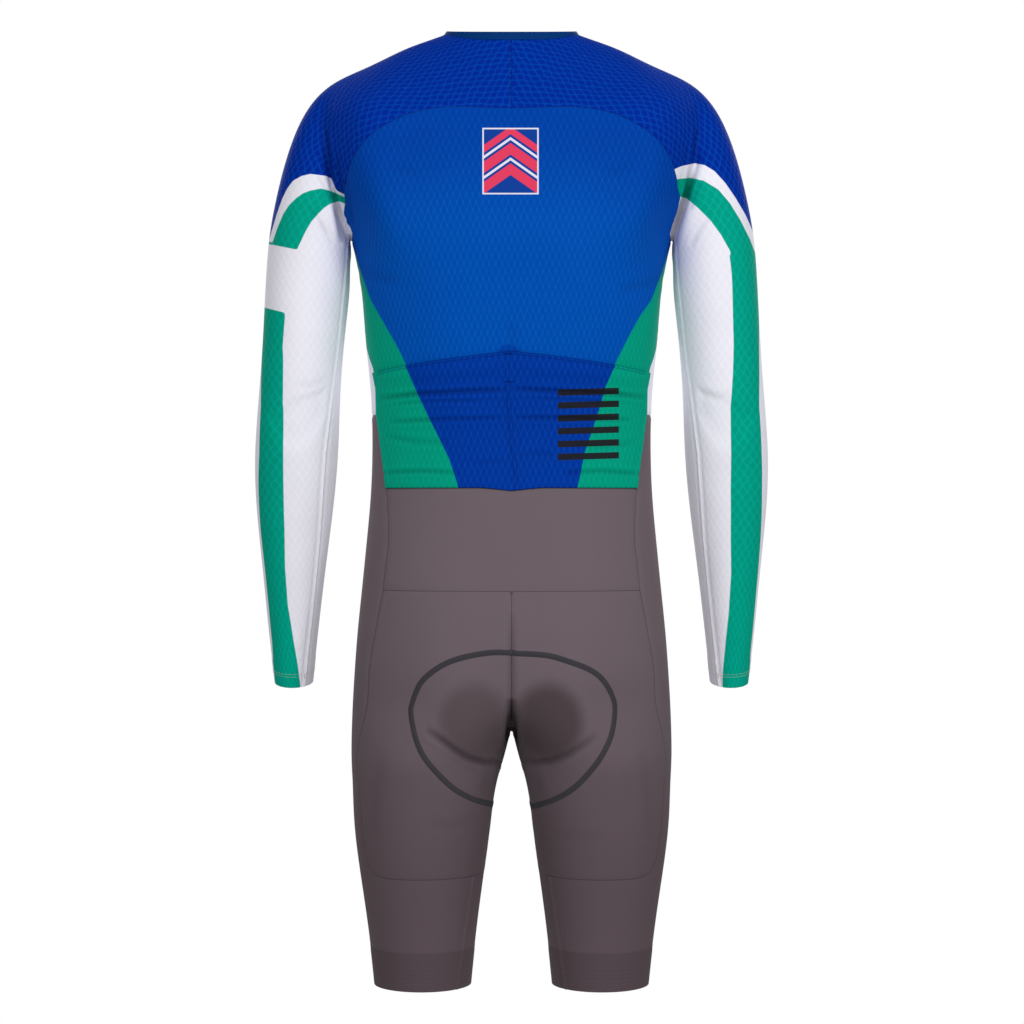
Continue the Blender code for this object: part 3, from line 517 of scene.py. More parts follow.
@dataclass(frozen=True)
class SeamPlan:
    """Where the seams run, each as a field that is zero on its line."""

    armpit_x: float = 164.5
    raglan_low_z: float = -230.0
    chest_y: float = -30.0
    waist_front: tuple[float, float, float] = (-356.0, 22.0, 100.0)
    waist_back_z: float = -431.0
    waist_back_point: tuple[float, float] = (3.0, 30.0)
    lumbar_z: float = -534.0
    hem_band_z: float = -826.0
    corner_radius: float = 26.0
    inseam_y: float = -10.0
    inner_top_z: float = -594.0
    leg_axis_x: float = 90.0
    sleeve_axis_x: float = 225.0
    zip_half_width: float = 3.3
    pocket_top_z: float = -294.0
    pocket_dip: float = 19.0
    pocket_corner: float = 0.15
    pocket_half_width: float = 138.0
    side_z: tuple[float, ...] = (-835.0, -770.0, -680.0, -579.0, -536.0, -487.0, -433.0, -386.0,
                                 -354.0, -330.0, -308.0, -298.0, -287.0, -266.0, -177.0)
    side_y: tuple[float, ...] = (34.0, 40.0, 52.0, 64.0, 66.0, 61.0, 48.0, 37.0,
                                 30.0, 33.0, 29.0, 20.0, 8.0, 2.0, 0.0)
    sleeve_z: tuple[float, ...] = (-640.0, -560.0, -480.0, -395.0, -290.0, -226.0, -200.0, -177.0)
    sleeve_x: tuple[float, ...] = (216.0, 206.0, 197.0, 190.0, 177.0, 170.4, 168.6, 167.4)
    sleeve_seam_top: float = -148.0
    hem_z: tuple[float, ...] = (-942.0, -826.0)
    hem_x: tuple[float, ...] = (55.5, 38.5)

    def sleeve_side(self, p: Points) -> np.ndarray:
        """Above zero on the sleeves and the yoke, below zero on the body and the legs."""
        x = np.abs(p[:, 0])
        back = outline_distance(x, p[:, 2], BACK_OUTLINE)
        front = outline_distance(x, p[:, 2], FRONT_OUTLINE)
        return np.where(p[:, 1] >= 0.0, back, front)

    def back_side(self, p: Points) -> np.ndarray:
        """Above zero on the back, lumbar and seat panels, below zero on fronts and legs."""
        outer = np.interp(p[:, 2], self.side_z, self.side_y)
        inner = (np.abs(p[:, 0]) < self.leg_axis_x) & (p[:, 2] < self.inner_top_z)
        along = p[:, 1] - np.where(inner, self.inseam_y, outer)
        over = p[:, 2] - self.hem_band_z
        blend = np.clip(0.5 + 0.5 * (over - along) / self.corner_radius, 0.0, 1.0)
        return over + (along - over) * blend - self.corner_radius * blend * (1.0 - blend)

    def front_waist(self, p: Points) -> np.ndarray:
        """Height above the seam between the jersey fronts and the shorts."""
        seam_z, dip, belly = self.waist_front
        return p[:, 2] - seam_z + dip * np.clip(-p[:, 1] / belly, 0.0, 1.0)

    def back_waist(self, p: Points) -> np.ndarray:
        """Height above the seam between the jersey back and the lumbar panel."""
        dip, half_width = self.waist_back_point
        point = dip * np.clip(1.0 - np.abs(p[:, 0]) / half_width, 0.0, 1.0)
        return p[:, 2] - self.waist_back_z + point

    def lumbar(self, p: Points) -> np.ndarray:
        """Height above the seam between the lumbar panel and the seat panels."""
        return p[:, 2] - self.lumbar_z

    def pocket_top(self, p: Points) -> np.ndarray:
        """Height above the top hem of the pockets."""
        share = np.abs(p[:, 0]) / self.pocket_half_width
        fall = (1.0 - self.pocket_corner) * share + self.pocket_corner * share ** 4
        return p[:, 2] - self.pocket_top_z + self.pocket_dip * fall

    def zip_side(self, p: Points) -> np.ndarray:
        """Distance outside the zip chain."""
        return np.abs(p[:, 0]) - self.zip_half_width

    def limb_centre(self, p: Points, rings: Sequence) -> np.ndarray:
        """Return the centre y of a sleeve or a leg at each point's height."""
        if rings is SLEEVE:
            ends = sorted((0.5 * (ring.inner_z + ring.outer_z), ring.y) for ring in rings)
        else:
            ends = sorted((ring.z, 0.5 * (ring.back + ring.front)) for ring in rings)
        levels, depths = np.array(ends).T
        return np.interp(p[:, 2], levels, depths)

    def limb_seam(self, p: Points, seam_z: Sequence, seam_x: Sequence,
                  rings: Sequence) -> np.ndarray:
        """Above zero on the back of a limb outside its seam, below zero on the rest."""
        outside = np.abs(p[:, 0]) - np.interp(p[:, 2], seam_z, seam_x)
        behind = p[:, 1] > self.limb_centre(p, rings)
        return np.where(behind, outside, -np.abs(outside) - 1.0)

    def sleeve_seam(self, p: Points) -> np.ndarray:
        """Return the sleeve's own seam as a field."""
        return self.limb_seam(p, self.sleeve_z, self.sleeve_x, SLEEVE)

    def hem_seam(self, p: Points) -> np.ndarray:
        """Return the hem band's own seam as a field."""
        return self.limb_seam(p, self.hem_z, self.hem_x, LEG)

    def is_body(self, p: Points) -> np.ndarray:
        """Whether points lie on the body and the legs."""
        return self.sleeve_side(p) < 0.0

    def on_back(self, p: Points) -> np.ndarray:
        """Whether points lie on the back, lumbar and seat panels."""
        return self.is_body(p) & (self.back_side(p) > 0.0)

    def on_front(self, p: Points) -> np.ndarray:
        """Whether points lie on the fronts, the leg panels and the hem bands."""
        return self.is_body(p) & (self.back_side(p) < 0.0)

    def on_chest(self, p: Points) -> np.ndarray:
        """Whether points lie in front, above the waist seam."""
        return (p[:, 1] < self.chest_y) & (self.front_waist(p) > 0.0)

    def on_inner_sleeve(self, p: Points) -> np.ndarray:
        """Whether points lie on the inner back of a sleeve, below the armpit."""
        behind = p[:, 1] > self.limb_centre(p, SLEEVE)
        inner = (p[:, 2] < self.sleeve_seam_top) & (np.abs(p[:, 0]) < self.sleeve_axis_x)
        return ~self.is_body(p) & behind & inner

    def on_inner_hem(self, p: Points) -> np.ndarray:
        """Whether points lie on the inner back of a hem band."""
        behind = p[:, 1] > self.limb_centre(p, LEG)
        inner = (p[:, 2] < self.hem_band_z) & (np.abs(p[:, 0]) < self.leg_axis_x)
        return self.on_front(p) & behind & inner

    def piece_names(self, p: Points) -> np.ndarray:
        """Name the piece of cloth that each place belongs to."""
        side = np.where(p[:, 0] > 0.0, "left", "right")
        names = np.char.add("leg_", side).astype("U20")
        jersey = self.front_waist(p) > 0.0
        names[jersey] = np.char.add("front_", side)[jersey]
        back = self.on_back(p)
        names[back] = np.char.add("seat_", side)[back]
        names[back & (self.lumbar(p) > 0.0)] = "lumbar_panel"
        names[back & (self.back_waist(p) > 0.0)] = "back_panel"
        sleeve = ~self.is_body(p)
        names[sleeve] = np.char.add("sleeve_", side)[sleeve]
        names[self.on_chest(p) & (self.zip_side(p) < 0.0)] = "zip_chain"
        return names


SEAMS = SeamPlan()


class Line(Enum):
    """A line that runs through points of the cloth, as a bit."""

    CENTRE = 1
    EDGE = 2
    RAGLAN = 4
    SIDE = 8
    FRONT_WAIST = 16
    BACK_WAIST = 32
    LUMBAR = 64
    POCKET = 128
    ZIP = 256
    SLEEVE_SEAM = 512
    HEM_SEAM = 1024


# ---------------------------------------------------------------- cloth surface
def sides_of(triangles: np.ndarray) -> np.ndarray:
    """Return the first, second and third sides of triangles, each in its own direction."""
    return np.concatenate((triangles[:, (0, 1)], triangles[:, (1, 2)], triangles[:, (2, 0)]))


def edges_of(triangles: np.ndarray) -> np.ndarray:
    """Return the edges of triangles once each, lower number first."""
    return np.unique(np.sort(sides_of(triangles), axis=1), axis=0)


def open_edges(triangles: np.ndarray) -> np.ndarray:
    """Return the edges that belong to one triangle, in its own direction."""
    edges = sides_of(triangles)
    keys = np.sort(edges, axis=1)
    _unique, first, count = np.unique(keys, axis=0, return_index=True, return_counts=True)
    return edges[first[count == 1]]


class Cloth:
    """Triangles of the whole suit at one fineness, with the lines that run through its points."""

    reach = 60.0
    slide = 0.28

    def __init__(self, points: Points, quads: np.ndarray) -> None:
        """Part each quad along its shorter diagonal.

        Args:
            points: places in mm.
            quads: four point numbers a face.
        """
        first = np.linalg.norm(points[quads[:, 0]] - points[quads[:, 2]], axis=1)
        second = np.linalg.norm(points[quads[:, 1]] - points[quads[:, 3]], axis=1)
        turned = np.where((first > second)[:, None], np.roll(quads, -1, axis=1), quads)
        self.points = points
        self.normals = points
        self.seam_gap = np.zeros(len(points))
        self.fold = np.zeros(len(points))
        self.names = np.array([])
        self.beyond = np.array([], dtype=bool)
        self.on_pocket = np.array([], dtype=bool)
        self.triangles = np.concatenate((turned[:, (0, 1, 2)], turned[:, (0, 2, 3)]))
        self.lines = np.where(points[:, 0] == 0.0, Line.CENTRE.value, 0)
        self.lines[open_edges(self.triangles).ravel()] |= Line.EDGE.value

    def centres(self) -> Points:
        """Return the middle of each triangle."""
        return self.points[self.triangles].mean(axis=1)

    def cut(self, line: Line, seam: Field, domain: Callable[[Points], np.ndarray]) -> None:
        """Run a seam through the cloth.

        Args:
            line: the seam's name.
            seam: a field that is zero on the seam.
            domain: whether a triangle's middle lies where the seam may run.
        """
        values = seam(self.points)
        centres = self.centres()
        near = np.abs(seam(centres)) < self.reach
        chosen = np.zeros(len(centres), dtype=bool)
        chosen[near] = domain(centres[near])
        edges = edges_of(self.triangles[chosen])
        self.snap(edges, values)
        a, b = edges.T
        crossed = values[a] * values[b] < 0.0
        a, b = a[crossed], b[crossed]
        share = (values[a] / (values[a] - values[b]))[:, None]
        count = len(self.points)
        added = self.points[a] + share * (self.points[b] - self.points[a])
        self.points = np.concatenate((self.points, added))
        self.lines = np.concatenate((self.lines, (self.lines[a] & self.lines[b]) | line.value))
        values = np.concatenate((values, np.zeros(len(a))))
        used = np.unique(self.triangles[chosen])
        self.lines[used[values[used] == 0.0]] |= line.value
        if len(a):
            self.split(a * count + b, count)

    def snap(self, edges: np.ndarray, values: np.ndarray) -> None:
        """Slide points that lie close to the seam along an edge onto it."""
        a, b = edges.T
        crossed = values[a] * values[b] < 0.0
        a, b = a[crossed], b[crossed]
        share = values[a] / (values[a] - values[b])
        here = np.concatenate((a, b))
        other = np.concatenate((b, a))
        part = np.concatenate((share, 1.0 - share))
        allowed = (part < self.slide) & ((self.lines[here] & ~self.lines[other]) == 0)
        here, other, part = here[allowed], other[allowed], part[allowed]
        order = np.lexsort((other, part, here))
        here, other, part = here[order], other[order], part[order]
        first = np.ones(len(here), dtype=bool)
        first[1:] = here[1:] != here[:-1]
        here, other, part = here[first], other[first], part[first]
        start = self.points.copy()
        self.points[here] = start[here] + part[:, None] * (start[other] - start[here])
        values[here] = 0.0

    def split(self, keys: np.ndarray, count: int) -> None:
        """Part the triangles at the points that were added on their edges.

        Args:
            keys: lower number times count plus higher number, of each edge with a new point.
            count: how many points there were before.
        """
        order = np.argsort(keys)
        keys = keys[order]
        numbers = count + order
        triangles = self.triangles
        added = np.full((len(triangles), 3), -1, dtype=np.int64)
        for corner in range(3):
            ends = np.sort(triangles[:, (corner, (corner + 1) % 3)], axis=1)
            key = ends[:, 0] * count + ends[:, 1]
            place = np.minimum(np.searchsorted(keys, key), len(keys) - 1)
            hit = keys[place] == key
            added[hit, corner] = numbers[place[hit]]
        cuts = (added >= 0).sum(axis=1)
        made = [triangles[cuts == 0]]
        for corner in range(3):
            ahead, behind = (corner + 1) % 3, (corner + 2) % 3
            one = (cuts == 1) & (added[:, corner] >= 0)
            a, b, c, m = (*triangles[one][:, (corner, ahead, behind)].T, added[one, corner])
            made += [np.stack((a, m, c), axis=1), np.stack((m, b, c), axis=1)]
            two = (cuts == 2) & (added[:, ahead] < 0)
            a, b, c = triangles[two][:, (corner, ahead, behind)].T
            m, n = added[two, corner], added[two, behind]
            made += [np.stack((a, m, n), axis=1), np.stack((m, b, c), axis=1),
                     np.stack((m, c, n), axis=1)]
        self.triangles = np.concatenate(made)

    def cut_seams(self) -> None:
        """Run every seam through the cloth."""
        self.cut(Line.RAGLAN, SEAMS.sleeve_side, lambda p: p[:, 2] > SEAMS.raglan_low_z)
        self.cut(Line.SIDE, SEAMS.back_side, SEAMS.is_body)
        self.cut(Line.FRONT_WAIST, SEAMS.front_waist, SEAMS.on_front)
        self.cut(Line.BACK_WAIST, SEAMS.back_waist, SEAMS.on_back)
        self.cut(Line.LUMBAR, SEAMS.lumbar, SEAMS.on_back)
        self.cut(Line.POCKET, SEAMS.pocket_top, SEAMS.on_back)
        self.cut(Line.ZIP, SEAMS.zip_side, SEAMS.on_chest)
        self.cut(Line.SLEEVE_SEAM, SEAMS.sleeve_seam, SEAMS.on_inner_sleeve)
        self.cut(Line.HEM_SEAM, SEAMS.hem_seam, SEAMS.on_inner_hem)
        centres = self.centres()
        self.names = SEAMS.piece_names(centres)
        self.beyond = np.where(SEAMS.is_body(centres), SEAMS.hem_seam(centres),
                               SEAMS.sleeve_seam(centres)) > 0.0
        self.on_pocket = (self.names == "back_panel") & (SEAMS.pocket_top(centres) < 0.0)
        self.normals = vertex_normals(self.points, self.triangles.tolist())

    def shared_points(self) -> np.ndarray:
        """Return the points that two pieces share."""
        kinds, number = np.unique(self.names, return_inverse=True)
        low = np.full(len(self.points), len(kinds))
        high = np.full(len(self.points), -1)
        for corner in range(3):
            np.minimum.at(low, self.triangles[:, corner], number)
            np.maximum.at(high, self.triangles[:, corner], number)
        return np.nonzero(low < high)[0]

    def own_seam_points(self) -> np.ndarray:
        """Return the points on the seams that close a sleeve or a hem band."""
        return np.nonzero(self.lines & (Line.SLEEVE_SEAM.value | Line.HEM_SEAM.value))[0]


# ---------------------------------------------------------------- creases
@dataclass(frozen=True)
class Crease:
    """A soft trough in the cloth along a line in the view plane; below zero it is a ridge.

    It rises a little beside itself and fades out at its ends. A crease on both halves is
    mirrored, unless it runs down the centre.
    """

    line: tuple[Point2, ...]
    depth: float
    width: float
    side: Side = Side.BACK
    half: Half = Half.BOTH
    shoulder: float = 0.35
    shoulder_place: float = 2.1
    shoulder_width: float = 0.8
    ends: float = 0.3
    reach: float = 4.0

    def relief(self, x: np.ndarray, z: np.ndarray, facing: np.ndarray) -> np.ndarray:
        """Return how far the cloth moves out at each place.

        Args:
            x, z: places in the view plane.
            facing: 1 on the back and -1 on the front.

        Returns:
            Heights in mm.
        """
        moved = self.one_side(x, z)
        if self.half is Half.BOTH and any(place for place, _height in self.line):
            moved += self.one_side(-x, z)
        return moved * (facing * self.side.value > 0.0)

    def one_side(self, x: np.ndarray, z: np.ndarray) -> np.ndarray:
        """Return the heights along the line as it is written."""
        moved = np.zeros(len(x))
        corners = np.array(self.line)
        reach = self.reach * self.width
        low, high = corners.min(axis=0) - reach, corners.max(axis=0) + reach
        near = np.nonzero((x > low[0]) & (x < high[0]) & (z > low[1]) & (z < high[1]))[0]
        if not len(near):
            return moved
        x, z = x[near], z[near]
        far = run_along(corners) / run_along(corners)[-1]
        nearest = np.full(len(x), np.inf)
        place = np.zeros(len(x))
        for start, end, done, ahead in zip(corners, corners[1:], far, far[1:]):
            run, gap = to_stretch(x, z, start, end)
            closer = gap < nearest
            nearest = np.where(closer, gap, nearest)
            place = np.where(closer, done + run * (ahead - done), place)
        share = nearest / self.width
        beside = (share - self.shoulder_place) / self.shoulder_width
        profile = np.exp(-share ** 2) - self.shoulder * np.exp(-beside ** 2)
        taper = np.clip(np.minimum(place, 1.0 - place) / self.ends, 0.0, 1.0)
        moved[near] = -self.depth * profile * np.sqrt(taper * (2.0 - taper))
        return moved


L, R = Half.LEFT, Half.RIGHT
CREASES = (
    # folds bunched where the sleeve turns away from the back
    Crease(((192, -60), (190, -85), (187, -99), (183, -118)), 2.6, 2.2, half=L),
    Crease(((181, -88), (178, -110), (175, -131), (170, -147)), 2.4, 2.0, half=L),
    Crease(((172, -112), (168, -134), (163, -160)), 1.3, 2.6, half=L),
    Crease(((202, -108), (193, -119), (184, -133)), 0.9, 1.8, half=L),
    Crease(((196, -121), (187, -133)), 0.7, 1.5, half=L),
    Crease(((211, -141), (200, -151), (188, -171)), 0.9, 1.9, half=L),
    Crease(((200, -153), (191, -166), (184, -180)), 0.7, 1.6, half=L),
    Crease(((181, -137), (177, -158), (173, -178)), 2.4, 3.2, half=L),
    Crease(((-191, -62), (-190, -80), (-187, -98)), 2.4, 2.0, half=R),
    Crease(((-186, -96), (-181, -124), (-173, -149), (-165, -172)), 3.0, 2.6, half=R),
    Crease(((-181, -80), (-178, -104), (-172, -128)), 1.0, 2.6, half=R),
    Crease(((-199, -112), (-190, -126), (-183, -146)), 0.8, 2.2, half=R),
    Crease(((-205, -152), (-194, -163), (-184, -182)), 0.7, 2.4, half=R),
    # the same turn in front
    Crease(((192, -62), (189, -90), (184, -120), (172, -152)), 2.8, 2.6, side=Side.FRONT),
    Crease(((180, -92), (176, -116), (170, -140)), 1.6, 2.2, side=Side.FRONT),
    Crease(((203, -112), (193, -126), (184, -146)), 0.9, 2.2, side=Side.FRONT),
    Crease(((150, -150), (138, -166), (118, -178)), 1.0, 4.0, side=Side.FRONT),
    Crease(((156, -190), (136, -200), (112, -203)), 0.8, 4.5, side=Side.FRONT, half=L),
    Crease(((-156, -184), (-134, -197), (-104, -204)), 0.9, 4.2, side=Side.FRONT, half=R),
    # soft pulls across the back
    Crease(((158, -205), (140, -214), (118, -218)), 0.7, 5.0, half=L),
    Crease(((-157, -212), (-138, -222), (-112, -228)), 0.7, 5.0, half=R),
    Crease(((126, -96), (112, -104), (96, -107)), 0.5, 5.0),
    Crease(((0, -262), (0, -285)), 0.8, 5.0),
    # waist in front
    Crease(((120, -372), (84, -384), (40, -388), (6, -387)), 0.9, 3.2, side=Side.FRONT, half=L),
    Crease(((-6, -391), (-52, -392), (-92, -386), (-124, -372)), 1.0, 3.0, side=Side.FRONT, half=R),
    Crease(((128, -338), (96, -348), (60, -350)), 0.7, 3.6, side=Side.FRONT, half=L),
    Crease(((-58, -342), (-98, -340), (-130, -330)), 0.7, 3.4, side=Side.FRONT, half=R),
    Crease(((112, -412), (74, -424), (38, -425)), 0.6, 4.0, side=Side.FRONT, half=L),
    Crease(((-30, -430), (-70, -430), (-110, -418)), 0.6, 4.0, side=Side.FRONT, half=R),
    # elbow and forearm
    Crease(((190, -318), (206, -325), (224, -324)), 0.5, 3.6, half=L),
    Crease(((-192, -330), (-208, -336), (-228, -333)), 0.5, 3.6, half=R),
    Crease(((186, -344), (202, -350), (219, -349)), 0.6, 3.2, side=Side.FRONT, half=L),
    Crease(((-186, -352), (-204, -360), (-224, -358)), 0.7, 3.2, side=Side.FRONT, half=R),
    Crease(((190, -372), (208, -382), (232, -380)), 0.7, 3.0, side=Side.FRONT, half=L),
    Crease(((-188, -386), (-206, -392), (-228, -388)), 0.6, 3.0, side=Side.FRONT, half=R),
    Crease(((214, -596), (226, -600), (240, -597)), 0.35, 2.4, half=L),
    Crease(((-214, -588), (-228, -593), (-240, -590)), 0.35, 2.4, half=R),
    # seat: a fold under each lobe of the pad, and the cleft between them
    Crease(((89, -679), (75, -689), (60, -700), (45, -709), (27, -714), (10, -711)), 2.8, 3.4,
           half=L),
    Crease(((-88, -684), (-74, -696), (-58, -706), (-40, -712), (-24, -713), (-10, -709)), 2.2, 3.6,
           half=R),
    Crease(((0, -560), (0, -610), (0, -650), (0, -690)), 1.6, 4.0, ends=0.4),
    Crease(((2, -648), (1, -668), (0, -700)), 2.4, 4.6, ends=0.6),
    Crease(((14, -700), (24, -722), (30, -748)), 0.6, 4.0),
    # thigh and hem
    Crease(((134, -700), (140, -742), (142, -790)), 0.5, 6.0),
    Crease(((36, -770), (60, -778), (86, -776)), 0.4, 6.0, half=L),
    Crease(((-40, -786), (-70, -792), (-98, -788)), 0.4, 6.0, half=R),
    Crease(((30, -700), (52, -712), (84, -706)), 0.9, 4.0, side=Side.FRONT),
    Crease(((24, -672), (60, -676), (104, -664)), 0.8, 4.4, side=Side.FRONT),
    Crease(((10, -640), (34, -652), (70, -650)), 0.6, 4.4, side=Side.FRONT),
)


# the pockets: their hem stands off, then the cloth slumps in long level folds
POCKET_FOLDS = (
    Crease(((134, -317), (90, -312), (44, -308), (6, -305)), -1.3, 7.0, half=L, shoulder=0.0),
    Crease(((-6, -305), (-50, -309), (-96, -313), (-134, -318)), -1.2, 7.0, half=R, shoulder=0.0),
    Crease(((134, -339), (94, -334), (43, -331), (6, -330)), 2.3, 2.6, half=L),
    Crease(((0, -329), (-50, -331), (-104, -334), (-136, -338)), 2.1, 2.4, half=R),
    Crease(((122, -345), (80, -341), (30, -342)), 0.9, 2.0, half=L),
    Crease(((-24, -338), (-70, -341), (-112, -346)), 0.7, 2.2, half=R),
    Crease(((124, -363), (63, -360), (8, -359)), 1.6, 2.3, half=L),
    Crease(((-4, -359), (-62, -359), (-122, -361)), 1.8, 2.3, half=R),
    Crease(((128, -378), (98, -384), (64, -384)), 0.9, 3.2, half=L),
    Crease(((-64, -388), (-96, -390), (-126, -384)), 0.8, 3.4, half=R),
    Crease(((132, -416), (94, -414), (52, -416)), 1.5, 2.4, half=L),
    Crease(((-52, -416), (-92, -414), (-132, -417)), 1.6, 2.4, half=R),
    Crease(((40, -408), (22, -404), (4, -405)), 0.7, 3.0, half=L),
    Crease(((-8, -400), (-24, -396), (-44, -398)), 0.7, 3.0, half=R),
    Crease(((4, -296), (3, -330), (0, -368), (-4, -410), (-6, -432)), -0.8, 2.6, shoulder=0.5,
           half=L),
)


@dataclass(frozen=True)
class Cuff:
    """The cuffs' slant: their edge falls towards the back."""

    ring: SleeveRing = SLEEVE[-1]

    def level(self, places: Points) -> np.ndarray:
        """Return each place's height as if its ring were level."""
        return places[:, 2] + self.ring.slope * (places[:, 1] - self.ring.y)


CUFF = Cuff()


def eased(share: np.ndarray) -> np.ndarray:
    """Return a share held between 0 and 1, with soft ends."""
    share = np.clip(share, 0.0, 1.0)
    return share * share * (3.0 - 2.0 * share)


@dataclass(frozen=True)
class Relief:
    """How cloth departs from the smooth form.

    Two pieces meet in a groove between low welts. The seam that closes a sleeve stands up as a
    ridge between shallow troughs. The turned hems are a cloth's thickness proud.
    """

    groove_depth: float = 0.7
    groove_width: float = 1.7
    welt_height: float = 0.28
    welt_place: float = 4.2
    ridge_height: float = 0.75
    ridge_width: float = 1.3
    trough_depth: float = 0.55
    trough_place: float = 3.6
    hem_height: float = 0.4
    cuff_hem_z: float = -603.0
    leg_hem_z: float = -902.0
    hem_rise: float = 2.4
    pocket_room: float = 1.9
    pocket_ramp: float = 9.0

    def apply(self, cloth: "Cloth") -> None:
        """Move a cloth's points along its normals: creases, and a groove at each seam."""
        x, z = STUDIO.plane(cloth.points)
        facing = np.sign(cloth.normals[:, 1])
        cloth.fold = np.zeros(len(x))
        for crease in CREASES:
            cloth.fold += crease.relief(x, z, facing)
        height = (cloth.fold + self.at_seams(cloth) + self.at_hems(cloth)
                  - self.behind_pockets(cloth.points))
        cloth.points = cloth.points + cloth.normals * height[:, None]
        cloth.normals = vertex_normals(cloth.points, cloth.triangles.tolist())

    def at_seams(self, cloth: "Cloth") -> np.ndarray:
        """Return the heights beside the seams, and keep how far each point lies from one."""
        cloth.seam_gap = distance_to(cloth.points, cloth.points[cloth.shared_points()])
        own_gap = distance_to(cloth.points, cloth.points[cloth.own_seam_points()])

        def bump(gap: np.ndarray, place: float, width: float) -> np.ndarray:
            """Return a soft hill across the distance from a seam."""
            return np.exp(-((gap - place) / width) ** 2)

        return (self.welt_height * bump(cloth.seam_gap, self.welt_place, self.groove_width)
                - self.groove_depth * bump(cloth.seam_gap, 0.0, self.groove_width)
                + self.ridge_height * bump(own_gap, 0.0, self.ridge_width)
                - self.trough_depth * bump(own_gap, self.trough_place, self.groove_width))

    def at_hems(self, cloth: "Cloth") -> np.ndarray:
        """Return how proud the turned hems of cuffs and legs stand."""
        places = cloth.points
        on_sleeve = np.abs(places[:, 0]) > SEAMS.armpit_x
        level = np.where(on_sleeve, CUFF.level(places) - self.cuff_hem_z,
                         places[:, 2] - self.leg_hem_z)
        return self.hem_height * eased(-level / self.hem_rise)

    def behind_pockets(self, places: Points) -> np.ndarray:
        """Return how far the back lies in behind the pockets' folds."""
        inward = np.minimum.reduce([-SEAMS.pocket_top(places), SEAMS.back_side(places),
                                    SEAMS.back_waist(places), places[:, 1]])
        return self.pocket_room * eased(inward / self.pocket_ramp)


RELIEF = Relief()


def distance_to(places: Points, marks: Points, reach: float = 12.0) -> np.ndarray:
    """Return the distance from each place to the nearest mark, up to a reach."""
    cells: dict = {}
    for number, key in enumerate(map(tuple, np.floor(marks / reach).astype(int).tolist())):
        cells.setdefault(key, []).append(number)
    nearest = np.full(len(places), reach)
    home = np.floor(places / reach).astype(int)
    order = np.lexsort(home.T)
    ordered = home[order]
    starts = np.nonzero(np.any(np.diff(ordered, axis=0, prepend=ordered[:1] - 1), axis=1))[0]
    for first, last in zip(starts, [*starts[1:], len(order)]):
        key = ordered[first]
        around = [number for step in np.ndindex(3, 3, 3)
                  for number in cells.get(tuple((key + step - 1).tolist()), ())]
        if around:
            group = order[first:last]
            gaps = np.linalg.norm(places[group][:, None] - marks[around][None], axis=2)
            nearest[group] = np.minimum(nearest[group], gaps.min(axis=1))
    return nearest


# ---------------------------------------------------------------- knit chart
@dataclass(frozen=True)
class Grain:
    """Run of the knit: down the body and the limbs, slanting outward over the shoulders."""

    slant_x: tuple[float, ...] = (0.0, 135.0, 177.0, 197.0, 215.0)
    slant: tuple[float, ...] = (35.0, 50.0, 60.0, 77.0, 90.0)
    upright_z: tuple[float, float] = (-190.0, -95.0)
    passes: int = 500
    good_enough: float = 2e-4

    def wale(self, places: Points, raglan: bool) -> Points:
        """Return the direction of the knit's columns at each place."""
        way = np.zeros_like(places)
        way[:, 2] = -1.0
        if raglan:
            angle = np.interp(np.abs(places[:, 0]), self.slant_x, self.slant)
            upright = 1.0 - np.clip((places[:, 2] - self.upright_z[0])
                                    / (self.upright_z[1] - self.upright_z[0]), 0.0, 1.0)
            angle = np.radians(angle + (90.0 - angle) * upright)
            way[:, 0] = np.cos(angle) * np.sign(places[:, 0])
            way[:, 2] = -np.sin(angle)
        return way

    def chart(self, points: Points, normals: Points, triangles: np.ndarray, raglan: bool) -> Points:
        """Lay a piece flat along its grain, as nearly to size as its form allows.

        Args:
            points, normals, triangles: the piece, in mm.
            raglan: whether its grain slants over the shoulder.

        Returns:
            Place across and along the knit at each point, in mm.
        """
        a, b = edges_of(triangles).T
        middle = 0.5 * (points[a] + points[b])
        normal = normals[a] + normals[b]
        normal /= np.linalg.norm(normal, axis=1)[:, None]
        along = self.wale(middle, raglan)
        along -= (along * normal).sum(axis=1)[:, None] * normal
        along /= np.linalg.norm(along, axis=1)[:, None]
        across = np.cross(along, normal)
        run = points[b] - points[a]
        ways = ((across, points[:, 0]), (along, -points[:, 2]))
        return np.stack([self.settle(a, b, (run * way).sum(axis=1), len(points), start)
                         for way, start in ways], axis=1)

    def settle(self, a: np.ndarray, b: np.ndarray, steps: np.ndarray, count: int,
               start: np.ndarray) -> np.ndarray:
        """Find the values whose steps along the edges come closest to those asked for."""

        def spread(value: np.ndarray) -> np.ndarray:
            """Gather a value of each edge at its ends."""
            return np.bincount(b, value, count) - np.bincount(a, value, count)

        weight = 1.0 / (np.bincount(a, minlength=count) + np.bincount(b, minlength=count))
        found = start.copy()
        rest = spread(steps - (found[b] - found[a]))
        best = weight * rest
        way = best.copy()
        size = rest @ best
        goal = self.good_enough ** 2 * size
        for _ in range(self.passes):
            if size <= goal:
                break
            pull = spread(way[b] - way[a])
            stride = size / (way @ pull)
            found += stride * way
            rest -= stride * pull
            best = weight * rest
            new_size = rest @ best
            way = best + (new_size / size) * way
            size = new_size
        return found


GRAIN = Grain()


